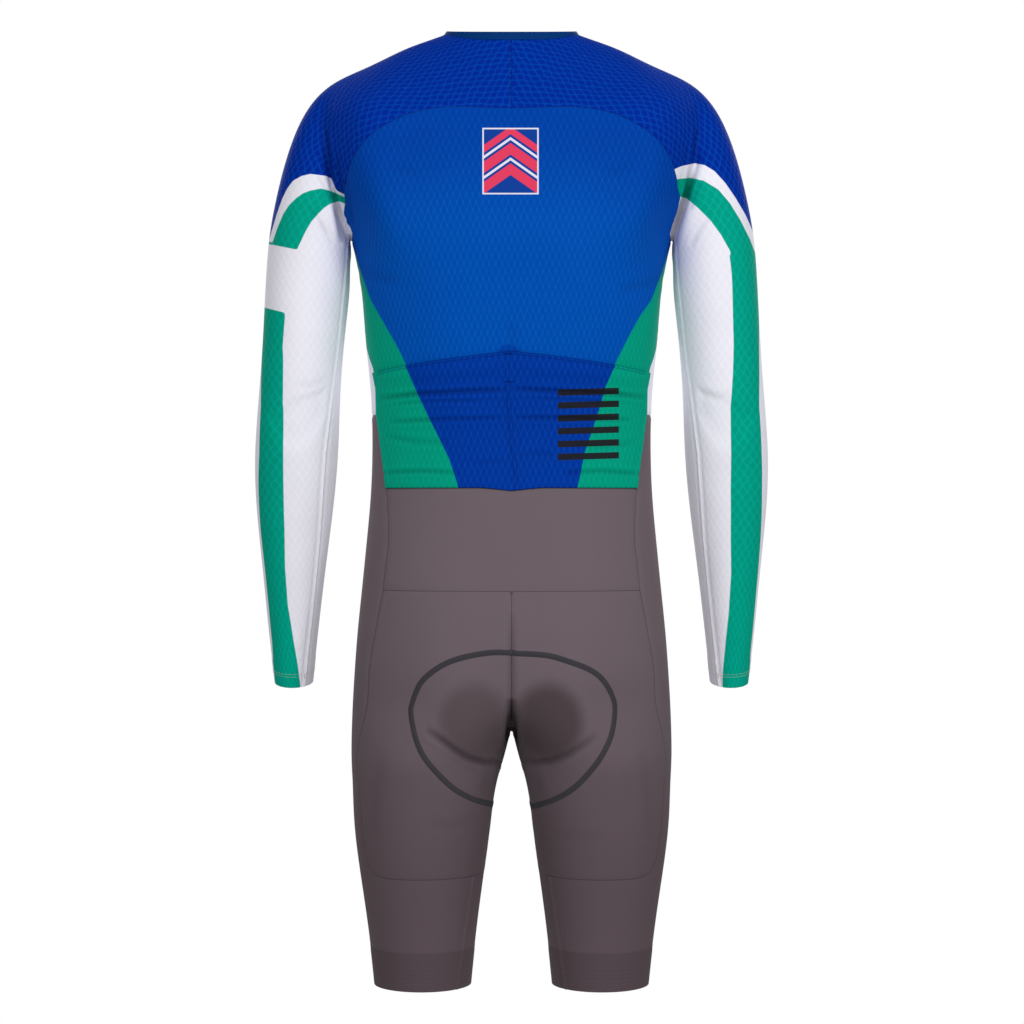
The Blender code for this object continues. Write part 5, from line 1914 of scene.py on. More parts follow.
    def raglan(self) -> bpy.types.Material:
        """The sleeves' coarse knit: deep blue cap, green band and stripe, white below."""
        look = self.start("raglan knit", 0.66)
        knit, loops, uneven = self.knitted(look, RAGLAN_KNIT)
        lines = knit["Lines"] ** 1.9
        colour = self.dyed(look, WHITE, lines, uneven)
        for layer, ink in (("outside_green", SLEEVE_GREEN), ("outside_blue", SLEEVE_BLUE)):
            colour = self.printed(look, colour, layer, 0.4, self.dyed(look, ink, lines, uneven))
        return look.finish(self.seams_and_fold_shade(look, colour), lines * -0.1 + 0.7,
                           (knit["Height"], 0.22, 0.0004), (loops, 0.2, 0.0002))

    def front(self) -> bpy.types.Material:
        """The fronts' fine knit, white."""
        look = self.start("front knit", 0.64)
        knit, loops, uneven = self.knitted(look, FRONT_KNIT)
        colour = self.dyed(look, WHITE, knit["Lines"], uneven)
        return look.finish(self.seams_and_fold_shade(look, colour, 0.2, 0.08), knit["Lines"] * -0.08 + 0.68,
                           (knit["Height"], 0.4, 0.0005), (loops, 0.2, 0.0002))

    def stretch(self, ribs: Ribs = Ribs()) -> bpy.types.Material:
        """The shorts' smooth stretch knit, grey, with the gripper's ribs inside the hem."""
        look = self.start("stretch knit", 0.6, 0.01)
        vector, across, along = look.chart()
        loops = look.use(self.grain, Across=across, Along=along, Gauge=0.55)["Loops"]
        colour = self.dyed(look, GREY, loops, look.noise(vector, 1.1, 4.0))
        height = look.axis(look.place(), "Z") * (1.0 / MM)
        for levels, most, shade in GREY_SHADES:
            colour = look.mix(height.step(*levels) * most, colour, linear(shade))
        flecks = look.noise(vector, 160.0, 2.0, 0.7) * 0.14
        colour = look.mix(flecks, colour, linear(FLECK_GREY))
        colour = self.seams_and_fold_shade(look, self.pad_shade(look, colour))
        relief = look.math("SINE", height * (2.0 * math.pi / ribs.pitch))
        relief = relief * height.between(ribs.low, ribs.high, ribs.soft)
        return look.finish(colour, None, (relief, 0.3, 0.0003), (loops, 0.15, 0.00015))


@dataclass(frozen=True)
class ThreadFinish:
    """Twisted sewing thread of one colour."""

    name: str
    colour: Colour
    ply: float = 1.1

    def make(self) -> bpy.types.Material:
        """Return the material: two plies, with painted shade in the groove between them."""
        look = Look(self.name, Roughness=0.7, Specular_IOR_Level=0.05)
        _vector, across, along = look.chart()
        twist = (across * 3.0 + along).wave(self.ply)
        fleck = look.noise(look.place(), 900.0)
        # painted shade in the groove between the plies, varied by random flecks
        tone = twist.step(0.55, 0.0) * (fleck * 0.3 + 0.2)
        dark = tuple(0.55 * value for value in self.colour)
        return look.finish(look.mix(tone, linear(self.colour), linear(dark)),
                           fleck * 0.15 + 0.62, (twist, 1.0, 0.00008))


@dataclass(frozen=True)
class TapeFinish:
    """Woven or knitted tape with fine cords along it and picks across."""

    name: str
    colour: Colour
    shade: Colour
    cord: float
    pick: float
    parting_z: float | None = None

    def make(self) -> bpy.types.Material:
        """Return the material; with a parting it paints the dark shadow of the gap above a zip's
        slider.
        """
        look = Look(self.name, Roughness=0.66, Specular_IOR_Level=0.05)
        vector, across, along = look.chart()
        weave = across.wave(self.cord) * (along.wave(self.pick) * 0.5 + 0.5)
        tone = (1.0 - weave) * 0.55 + look.noise(vector, 3.0, 3.0) * 0.25
        colour = look.mix(tone, linear(self.colour), linear(self.shade))
        # painted shadow: the tape stays whole, and a dark colour stands for the gap where the zip
        # parts above the slider
        if self.parting_z is not None:
            above = look.math("MAXIMUM", look.layer("view_z") - self.parting_z, 0.0)
            inside = above * 0.05 - abs(look.layer("view_x"))
            colour = look.mix(inside.step(-0.05, 0.12), colour, linear((24, 24, 30)))
        return look.finish(colour, weave * -0.1 + 0.72, (weave, 0.5, 0.00015))


@dataclass(frozen=True)
class HardFinish:
    """Lacquered metal or moulded plastic with a fine grain."""

    name: str
    colour: Colour
    worn: Colour
    metallic: float
    roughness: float
    coat: float

    def make(self) -> bpy.types.Material:
        """Return the material: small scuffs, and an uneven gloss."""
        look = Look(self.name, Roughness=self.roughness, Metallic=self.metallic,
                    Specular_IOR_Level=0.4, Coat_Weight=self.coat)
        place = look.place()
        scuffs = look.noise(place, 700.0, 6.0, 0.7).step(0.6, 0.78)
        rough = look.noise(place, 180.0, 3.0) * 0.25 + (self.roughness - 0.1)
        return look.finish(look.mix(scuffs * 0.6, linear(self.colour), linear(self.worn)),
                           scuffs * 0.15 + rough, (look.noise(place, 1500.0, 3.0), 0.25, 0.00005))


# ---------------------------------------------------------------- sewing
BEHIND_Y = 200.0
BEFORE_Y = -200.0


def unit(vectors: Points) -> Points:
    """Return vectors at length one."""
    return vectors / np.linalg.norm(vectors, axis=1)[:, None]


@dataclass
class Track:
    """A line on the cloth: places, outward normals, and the way it runs."""

    places: Points
    normals: Points
    ways: Points

    def beside(self) -> Points:
        """Return the direction across the line, in the cloth."""
        return np.cross(self.normals, self.ways)

    def moved(self, beside: float, up: float = 0.0) -> "Track":
        """Return the line moved across itself and off the cloth."""
        places = self.places + beside * self.beside() + up * self.normals
        return Track(places, self.normals, self.ways)


class Skin:
    """Outer faces of finished panels, to lay thread on."""

    def __init__(self, *pieces: Panel) -> None:
        """Gather the panels' outer faces, in mm."""
        places, faces = [], []
        for piece in pieces:
            faces += (piece.triangles + len(places)).tolist()
            places += piece.outer.tolist()
        self.tree = BVHTree.FromPolygons(places, faces)

    def seen(self, x: float, z: float, side: Side = Side.BACK) -> Vector:
        """Return where the sight line through a place of the view plane meets the cloth."""
        eye = Vector((STUDIO.eye_x, side.value * STUDIO.distance, STUDIO.eye_z))
        return self.tree.ray_cast(eye, Vector((x, 0.0, z)) - eye)[0]

    def ahead(self, start: Sequence, way: Sequence) -> Vector:
        """Return where a straight line from a start meets the cloth."""
        return self.tree.ray_cast(Vector(start), Vector(way))[0]

    def track(self, marks: Sequence, step: float, closed: bool = False) -> Track:
        """Lay a smooth line through marks onto the cloth; a mark that missed it is left out."""
        line = smooth_line([mark for mark in marks if mark is not None], step, closed)
        found = [self.tree.find_nearest(Vector(place)) for place in line]
        places = np.array([hit[0] for hit in found])
        normals = np.array([hit[1] for hit in found])
        ways = unit(np.gradient(places, axis=0))
        normals -= (normals * ways).sum(axis=1)[:, None] * ways
        return Track(places, unit(normals), ways)

    def settled(self, track: Track, beside: float) -> Track:
        """Move a line across itself and lay it back onto the cloth."""
        moved = track.moved(beside)
        places = np.array([self.tree.find_nearest(Vector(place))[0] for place in moved.places])
        return Track(places, moved.normals, moved.ways)

    def round_limb(self, centre: Sequence, level: float, slope: float, turns: int = 48,
                   outside: float = 90.0, tries: int = 3) -> list[Vector]:
        """Find places round a sleeve or a leg.

        Args:
            centre: a point inside the limb.
            level: height at the centre.
            slope: how steeply the level falls towards the back.
            turns: how many places.
            outside: a distance from the centre that is clear of the limb.
            tries: how often the level is set again from the place that was found.

        Returns:
            Places on the cloth.
        """
        middle = Vector(centre)
        marks = []
        for turn in range(turns):
            angle = 2.0 * math.pi * turn / turns
            way = Vector((math.cos(angle), math.sin(angle), 0.0))
            hit = middle
            for _ in range(tries):
                middle.z = level - slope * (hit.y - middle.y)
                hit = self.ahead(middle + outside * way, -way)
            marks.append(hit)
        return marks


@dataclass
class Thread:
    """Stitches joined in one mesh: each is a spindle that dips into the cloth at its ends."""

    name: str
    held: Finish
    radius: float = 0.22
    rise: float = 0.12
    sunk: float = 0.12
    ends: list = field(default_factory=list)

    def add(self, starts: Points, ends: Points, normals: Points) -> "Thread":
        """Keep stitches from their starts to their ends."""
        self.ends.append(np.stack((starts, ends, normals), axis=1))
        return self

    def row(self, track: Track, share: float = 0.8) -> "Thread":
        """Sew from place to place along a track."""
        heads = track.places[:-1]
        return self.add(heads, heads + share * (track.places[1:] - heads), track.normals[:-1])

    def strokes(self, track: Track, low: float, high: float, slant: float = 0.0) -> "Thread":
        """Sew across a track, from one distance beside it to another."""
        start, end = track.moved(low).places, track.moved(high).places
        return self.add(start, end + slant * track.ways, track.normals)

    def build(self, material: bpy.types.Material) -> bpy.types.Object:
        """Make the stitches and dress them."""
        starts, ends, normals = np.concatenate(self.ends).transpose(1, 0, 2)
        along = ends - starts
        side = np.cross(normals, unit(along))
        rows, shares, around = [starts - self.sunk * normals], [0.0], [0.0]
        for share in (0.25, 0.75):
            for turn in range(4):
                angle = 0.5 * math.pi * turn
                out = math.cos(angle) * side + math.sin(angle) * normals
                rows.append(starts + share * along + self.rise * normals + self.radius * out)
                shares.append(share)
                around.append(angle * self.radius)
        rows.append(ends - self.sunk * normals)
        shares.append(1.0)
        around.append(0.0)
        faces = []
        for turn in range(4):
            here, ahead = 1 + turn, 1 + (turn + 1) % 4
            faces += [(0, ahead, here), (here, ahead, ahead + 4), (here, ahead + 4, here + 4),
                      (here + 4, ahead + 4, len(rows) - 1)]
        base = len(rows) * np.arange(len(starts))[:, None, None]
        lengths = np.linalg.norm(along, axis=1)[:, None] * shares
        chart = np.stack((np.broadcast_to(around, lengths.shape), lengths), axis=2)
        piece = add_mesh(self.name, np.stack(rows, axis=1).reshape(-1, 3),
                         (np.array(faces) + base).reshape(-1, 3).tolist(), chart.reshape(-1, 2))
        finish_piece(piece, material, SUIT)
        return piece


def finish_piece(piece: bpy.types.Object, material: bpy.types.Material,
                 body: str) -> None:
    """Dress a small piece and let it ride on its body."""
    piece.data.materials.clear()
    piece.data.materials.append(material)
    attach(piece, body)
    log.info("%s: %d faces", piece.name, len(piece.data.polygons))


def sweep(name: str, rings: np.ndarray, closed: bool) -> bpy.types.Object:
    """Join rings of places, each a closed outline, into one closed piece.

    Args:
        name: the piece's name.
        rings: places in mm, ring by ring.
        closed: whether the last ring joins the first, or both ends are capped.

    Returns:
        The piece, charted round its outline and along its run.
    """
    count, size = rings.shape[:2]
    faces = []
    for ring in range(count if closed else count - 1):
        here, ahead = ring * size, (ring + 1) % count * size
        for i in range(size):
            j = (i + 1) % size
            faces.append((here + i, here + j, ahead + j, ahead + i))
    if not closed:
        faces += [tuple(reversed(range(size))), tuple(range((count - 1) * size, count * size))]
    steps = np.linalg.norm(np.diff(rings, axis=1, prepend=rings[:, :1]), axis=2)
    along = run_along(rings.mean(axis=1))[:, None]
    chart = np.stack((np.cumsum(steps, axis=1), np.broadcast_to(along, (count, size))), axis=2)
    return add_mesh(name, rings.reshape(-1, 3), faces, chart.reshape(-1, 2))


@dataclass(frozen=True)
class PadSeam:
    """Flatlock seam round the seat pad: a dense band of thread, closed under the crotch.

    Its line is drawn in the view plane, behind on each side and in front on the left.
    """

    left: tuple[Point2, ...] = (
        (-8, -598), (21, -597), (54, -603), (77, -613), (96, -630), (105, -652), (106, -665),
        (102, -687), (94, -707), (79, -726), (62, -742), (45, -752), (30, -757), (21, -759))
    right: tuple[Point2, ...] = (
        (-21, -761), (-28, -760), (-48, -753), (-66, -742), (-82, -726), (-96, -707), (-106, -684),
        (-109, -659), (-106, -643), (-96, -626), (-82, -615), (-59, -606), (-37, -600))
    front: tuple[Point2, ...] = ((24, -757), (42, -744), (58, -715), (66, -680), (60, -645),
                                 (40, -617))
    front_top: float = -605.0
    inner_z: float = -758.5
    inner_y: tuple[float, ...] = (7.0, 0.0, -7.0)
    width: float = 5.9
    rim: float = 0.3
    stroke: float = 0.95
    bed: float = 0.38
    shoulder: float = 0.2
    sunk: float = -0.25

    def outline(self, skin: Skin) -> list[Vector]:
        """Return places all round the pad."""
        marks = [skin.seen(x, z) for x, z in self.left]
        marks += [skin.ahead((0.0, y, self.inner_z), (1.0, 0.0, 0.0)) for y in self.inner_y]
        marks += [skin.seen(x, z, Side.FRONT) for x, z in self.front]
        marks.append(skin.seen(0.0, self.front_top, Side.FRONT))
        marks += [skin.seen(-x, z, Side.FRONT) for x, z in reversed(self.front)]
        marks += [skin.ahead((0.0, y, self.inner_z), (-1.0, 0.0, 0.0))
                  for y in reversed(self.inner_y)]
        return marks + [skin.seen(x, z) for x, z in self.right]

    def build(self, skin: Skin, bed: bpy.types.Material, thread: bpy.types.Material) -> None:
        """Lay the bed of looped thread, the strokes over it and an edge line each side."""
        track = skin.track(self.outline(skin), self.stroke, closed=True)
        section = ((0.0, self.sunk), (self.rim, self.shoulder), (0.5 * self.width, self.bed),
                   (self.width - self.rim, self.shoulder), (self.width, self.sunk))
        rings = np.stack([skin.settled(track, across).moved(0.0, up).places
                          for across, up in section], axis=1)
        base = sweep("pad_seam_bed", rings[:-1, ::-1], closed=True)
        finish_piece(base, bed, SUIT)
        strokes = Thread("pad_seam_strokes", Finish.STRETCH, 0.2, self.bed - 0.08, -0.1)
        start, end = skin.settled(track, 0.5), skin.settled(track, self.width - 0.5)
        strokes.add(start.places, end.places + 0.5 * track.ways, track.normals).build(thread)
        edges = Thread("pad_seam_edges", Finish.STRETCH, 0.26, 0.24, -0.05)
        spaced = Track(track.places[::2], track.normals[::2], track.ways[::2])
        for across in (0.35, self.width - 0.35):
            edges.row(skin.settled(spaced, across), 0.62)
        edges.build(thread)


@dataclass(frozen=True)
class PocketSewing:
    """Stitches of the pockets: a doubled hem, a divider and its bar tacks."""

    half_width: float = 136.0
    rows: tuple[float, ...] = (0.45, 3.1)
    dash_row: float = 1.8
    divider: tuple[Point2, ...] = ((4, -291), (4, -323), (1, -361), (-3, -403), (-6, -430))
    divider_gap: float = 1.6
    tacks: tuple[tuple[float, float, float], ...] = ((7.2, -0.9, -292.2), (6.7, -1.5, -321.0))

    def hem(self, skin: Skin, drop: float, step: float) -> Track:
        """Return a line below the pockets' top edge."""
        across = np.linspace(self.half_width, -self.half_width, 41)
        level = -SEAMS.pocket_top(np.stack((across, 0 * across, 0 * across), axis=1)) - drop
        marks = [skin.ahead((x, BEHIND_Y, z), (0.0, -1.0, 0.0)) for x, z in zip(across, level)]
        return skin.track(marks, step)

    def build(self, skin: Skin, dark: bpy.types.Material, light: bpy.types.Material) -> None:
        """Sew the hem, the divider and the tacks."""
        hem = Thread("pocket_hem_stitching", Finish.JERSEY, 0.24, 0.06)
        for drop in self.rows:
            hem.row(self.hem(skin, drop, 2.4), 0.92)
        hem.build(dark)
        dashes = Thread("pocket_hem_loops", Finish.JERSEY, 0.26, 0.08)
        dashes.row(self.hem(skin, self.dash_row, 5.9), 0.42).build(light)
        divider = Thread("pocket_divider_stitching", Finish.JERSEY, 0.26, 0.06)
        track = skin.track([skin.seen(x, z) for x, z in self.divider], 2.2)
        for hand in (1.0, -1.0):
            divider.row(track.moved(hand * self.divider_gap), 0.6)
        for start, end, level in self.tacks:
            tack = skin.track([skin.seen(start, level), skin.seen(end, level)], 0.55)
            divider.strokes(tack, -0.7, 0.7, 0.3)
        divider.build(dark)


@dataclass(frozen=True)
class LimbSewing:
    """Stitches round the cuffs and the leg hems."""

    cuff_levels: tuple[float, float] = (-617.3, -620.1)
    tack: tuple[float, float, float] = (213.0, -621.5, -626.5)
    leg_level: float = -902.0
    leg_centre: tuple[float, float] = (91.0, -12.0)

    def build(self, sleeve: Panel, leg: Panel, half: Half, pale: bpy.types.Material,
              grey: bpy.types.Material) -> None:
        """Sew one side's twin cuff lines with their tack, and its leg hem."""
        side = half.name.lower()
        cuff = Thread("cuff_stitching_" + side, Finish.RAGLAN, 0.2, 0.1)
        skin = Skin(sleeve)
        ring = CUFF.ring
        centre = (half.value * 0.5 * (ring.inner_x + ring.outer_x), ring.y, ring.inner_z)
        for level in self.cuff_levels:
            cuff.row(skin.track(skin.round_limb(centre, level, ring.slope), 2.3, closed=True), 0.74)
        x, high, low = self.tack
        tack = skin.track([skin.seen(half.value * x, high), skin.seen(half.value * x, low)], 0.5)
        cuff.strokes(tack, -0.7, 0.7, 0.25).build(pale)
        hem = Thread("leg_hem_stitching_" + side, Finish.STRETCH, 0.2, 0.06)
        skin = Skin(leg)
        centre = (half.value * self.leg_centre[0], self.leg_centre[1], self.leg_level)
        hem.row(skin.track(skin.round_limb(centre, self.leg_level, 0.0), 2.5, closed=True), 0.7)
        hem.build(grey)


@dataclass(frozen=True)
class NeckTape:
    """The neck's binding: elastic tape folded over the edge, its top level behind."""

    gap: float = 3.8
    outer: float = 0.85
    inner: float = -1.95
    wall: float = 0.7
    foot: float = -1.5
    height: float = 6.2
    top_view_z: float = 39.9
    least: float = 2.9
    most: float = 9.0
    upright: float = 1.1
    step: float = 1.6
    round_top: float = 1.4
    level_y: tuple[float, float] = (-12.0, 2.0)
    lowest_z: float = -75.0
    widest_x: float = 90.0
    stitch_drop: float = 2.4
    flat: tuple[float, float] = (0.41, 0.018)

    def edge(self, cloth: Cloth) -> tuple[Points, Points]:
        """Return the places and normals along the neck's edge, from the zip round to it."""
        edges = open_edges(cloth.triangles)
        places = cloth.points[edges]
        near = ((places[:, :, 2].min(axis=1) > self.lowest_z)
                & (np.abs(places[:, :, 0]).max(axis=1) < self.widest_x))
        after = dict(edges[near].tolist())
        first = min(after, key=lambda number: cloth.points[number, 1])
        loop = [first]
        while after[loop[-1]] != first:
            loop.append(after[loop[-1]])
        loop.append(first)
        line = np.concatenate((cloth.points[loop], cloth.normals[loop]), axis=1)
        far = run_along(line[:, :3])
        line = resampled(line, far, round(far[-1] / self.step))
        line = line[(line[:, 1] > 0.0) | (np.abs(line[:, 0]) > self.gap)]
        return line[:, :3], unit(line[:, 3:])

    def rises(self, places: Points, normals: Points) -> Points:
        """Return which way the tape stands at each place."""
        rise = unit(np.cross(normals, np.gradient(places, axis=0)))
        rise *= np.where(rise[:, 2] < 0.0, -1.0, 1.0)[:, None]
        return unit(rise + (0.0, 0.0, self.upright))

    def outline(self, height: float) -> np.ndarray:
        """Return the fold's outline: places off the cloth and up, round the tape."""
        middle = 0.5 * (self.outer + self.inner)
        made = []
        for reach, turns in ((0.5 * (self.outer - self.inner), range(0, 181, 30)),
                             (0.5 * (self.outer - self.inner) - self.wall, range(180, -1, -30))):
            outside = turns.start == 0
            feet = [(middle + reach, self.foot), (middle + reach, 0.5 * height)]
            arc = [(middle + reach * math.cos(math.radians(turn)),
                    height - self.round_top + reach * math.sin(math.radians(turn)))
                   for turn in turns]
            tail = [(middle - reach, 0.5 * height), (middle - reach, self.foot)]
            made += feet + arc + tail if outside else tail[::-1] + arc + feet[::-1]
        return np.array(made)

    def build(self, cloth: Cloth, yoke: Skin, tape: bpy.types.Material,
              thread: bpy.types.Material) -> None:
        """Fold the tape over the edge and sew its foot down."""
        places, normals = self.edge(cloth)
        rises = self.rises(places, normals)
        nearness = 1.0 - places[:, 1] / STUDIO.distance
        top_z = STUDIO.eye_z + (self.top_view_z - STUDIO.eye_z) * nearness
        level = np.clip((top_z - places[:, 2]) / rises[:, 2], self.least, self.most)
        share = np.interp(places[:, 1], self.level_y, (0.0, 1.0))
        heights = self.height + (level - self.height) * share
        rings = np.stack([place + self.outline(height) @ np.stack((normal, rise))
                          for place, normal, rise, height in zip(places, normals, rises, heights)])
        piece = sweep("neck_tape", rings, closed=False)
        repair_normals(piece)
        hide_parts("neck_binding")
        finish_piece(piece, tape, SUIT)
        down = np.cross(normals, unit(np.gradient(places, axis=0)))
        down *= np.where(down[:, 2] > 0.0, -1.0, 1.0)[:, None]
        seam = Thread("neck_stitching", Finish.RAGLAN, 0.24, 0.06)
        seam.row(yoke.track(places[::3] + self.stitch_drop * down[::3], 2.2), 0.85).build(thread)


def repair_normals(piece: bpy.types.Object) -> None:
    """Turn a closed piece's faces outwards."""
    form = bmesh.new()
    form.from_mesh(piece.data)
    bmesh.ops.recalc_face_normals(form, faces=form.faces)
    form.to_mesh(piece.data)
    form.free()


# ---------------------------------------------------------------- zip
@dataclass(frozen=True)
class ZipCoil:
    """Two rows of teeth up the middle of the zip, locked below the slider and parted above it."""

    pitch: float = 1.3
    reach: float = 1.6
    lap: float = 0.3
    radius: float = 0.4
    end: float = 1.6
    parting: float = 0.055

    def build(self, tape: Panel, slider_z: float, material: bpy.types.Material) -> None:
        """Lay the teeth along the tape.

        Args:
            tape: the zip's tape.
            slider_z: height of the slider's middle in mm.
            material: the teeth's finish.
        """
        skin = Skin(tape)
        heights = tape.outer[:, 2]
        levels = np.linspace(heights.min() + self.end, heights.max() - self.end, 24)
        marks = [skin.ahead((0.0, BEFORE_Y, z), (0.0, 1.0, 0.0)) for z in levels]
        track = skin.track(marks, 0.5 * self.pitch)
        apart = np.maximum(track.places[:, 2] - slider_z, 0.0)[:, None] * self.parting
        teeth = Thread("zip_teeth", Finish.COIL, self.radius, 0.42, -0.1)
        for first, hand in ((0, 1.0), (1, -1.0)):
            beside = hand * track.beside()
            inner = track.places + (apart - self.lap) * beside
            outer = track.places + (apart + self.reach) * beside
            teeth.add(inner[first::2], outer[first::2], track.normals[first::2])
        teeth.build(material)


@dataclass(frozen=True)
class ZipTopstitch:
    """Stitches down both fronts beside the zip."""

    beside: float = 5.6
    step: float = 2.6
    end: float = 4.0

    def build(self, fronts: dict[Half, Panel], tape: Panel, material: bpy.types.Material) -> None:
        """Sew one line on each front."""
        seam = Thread("zip_topstitching", Finish.FRONT, 0.22, 0.08)
        heights = tape.outer[:, 2]
        levels = np.linspace(heights.min() + self.end, heights.max() - self.end, 30)
        for half, front in fronts.items():
            skin = Skin(front)
            marks = [skin.ahead((half.value * self.beside, BEFORE_Y, z), (0.0, 1.0, 0.0))
                     for z in levels]
            seam.row(skin.track(marks, self.step), 0.75)
        seam.build(material)


class Workbench:
    """Modelling by hand: one piece at a time, in edit mode, in mm about its own middle."""

    def __init__(self) -> None:
        """Start with nothing selected and face selection on."""
        bpy.ops.object.select_all(action="DESELECT")
        bpy.context.tool_settings.mesh_select_mode = (False, False, True)

    def block(self, low: Sequence[float], high: Sequence[float]) -> bpy.types.Object:
        """Add a block between two corners."""
        bpy.ops.object.select_all(action="DESELECT")
        low, high = Vector(low), Vector(high)
        bpy.ops.mesh.primitive_cube_add(size=1.0, location=0.5 * (low + high))
        piece = bpy.context.object
        piece.scale = high - low
        bpy.ops.object.transform_apply(location=True, scale=True)
        return piece

    def pick(self, chosen: Callable[[Vector, Vector], bool]) -> None:
        """Select the edited piece's faces by their middle and normal."""
        form = bmesh.from_edit_mesh(bpy.context.object.data)
        for face in form.faces:
            face.select_set(chosen(face.calc_center_median(), face.normal))
        form.select_flush_mode()
        bmesh.update_edit_mesh(bpy.context.object.data)

    def pick_edges(self, chosen: Callable[[Vector, Vector], bool]) -> None:
        """Select the edited piece's edges by their two ends."""
        bpy.context.tool_settings.mesh_select_mode = (False, True, False)
        form = bmesh.from_edit_mesh(bpy.context.object.data)
        for edge in form.edges:
            edge.select_set(chosen(*(end.co for end in edge.verts)))
        bmesh.update_edit_mesh(bpy.context.object.data)

    def edit(self) -> None:
        """Go into edit mode with faces selected."""
        bpy.context.tool_settings.mesh_select_mode = (False, False, True)
        bpy.ops.object.mode_set(mode="EDIT")

    def round_off(self, piece: bpy.types.Object, width: float, segments: int = 3) -> None:
        """Round a piece's sharp edges with an applied bevel."""
        bpy.context.view_layer.objects.active = piece
        bevel = piece.modifiers.new("edges", "BEVEL")
        bevel.width = width
        bevel.segments = segments
        bevel.limit_method = "ANGLE"
        bevel.angle_limit = METAL_EDGE
        bpy.ops.object.modifier_apply(modifier=bevel.name)

    def join(self, pieces: Sequence[bpy.types.Object], name: str,
             place: Matrix) -> bpy.types.Object:
        """Join pieces, set them in their place in metres, and shade them smooth."""
        bpy.ops.object.select_all(action="DESELECT")
        for piece in pieces:
            piece.select_set(True)
        bpy.context.view_layer.objects.active = pieces[0]
        if len(pieces) > 1:
            bpy.ops.object.join()
        whole = bpy.context.object
        whole.name = name
        whole.matrix_world = place @ Matrix.Scale(MM, 4)
        bpy.ops.object.transform_apply(location=True, rotation=True, scale=True)
        bpy.ops.object.shade_smooth_by_angle(angle=METAL_SHARP)
        return whole


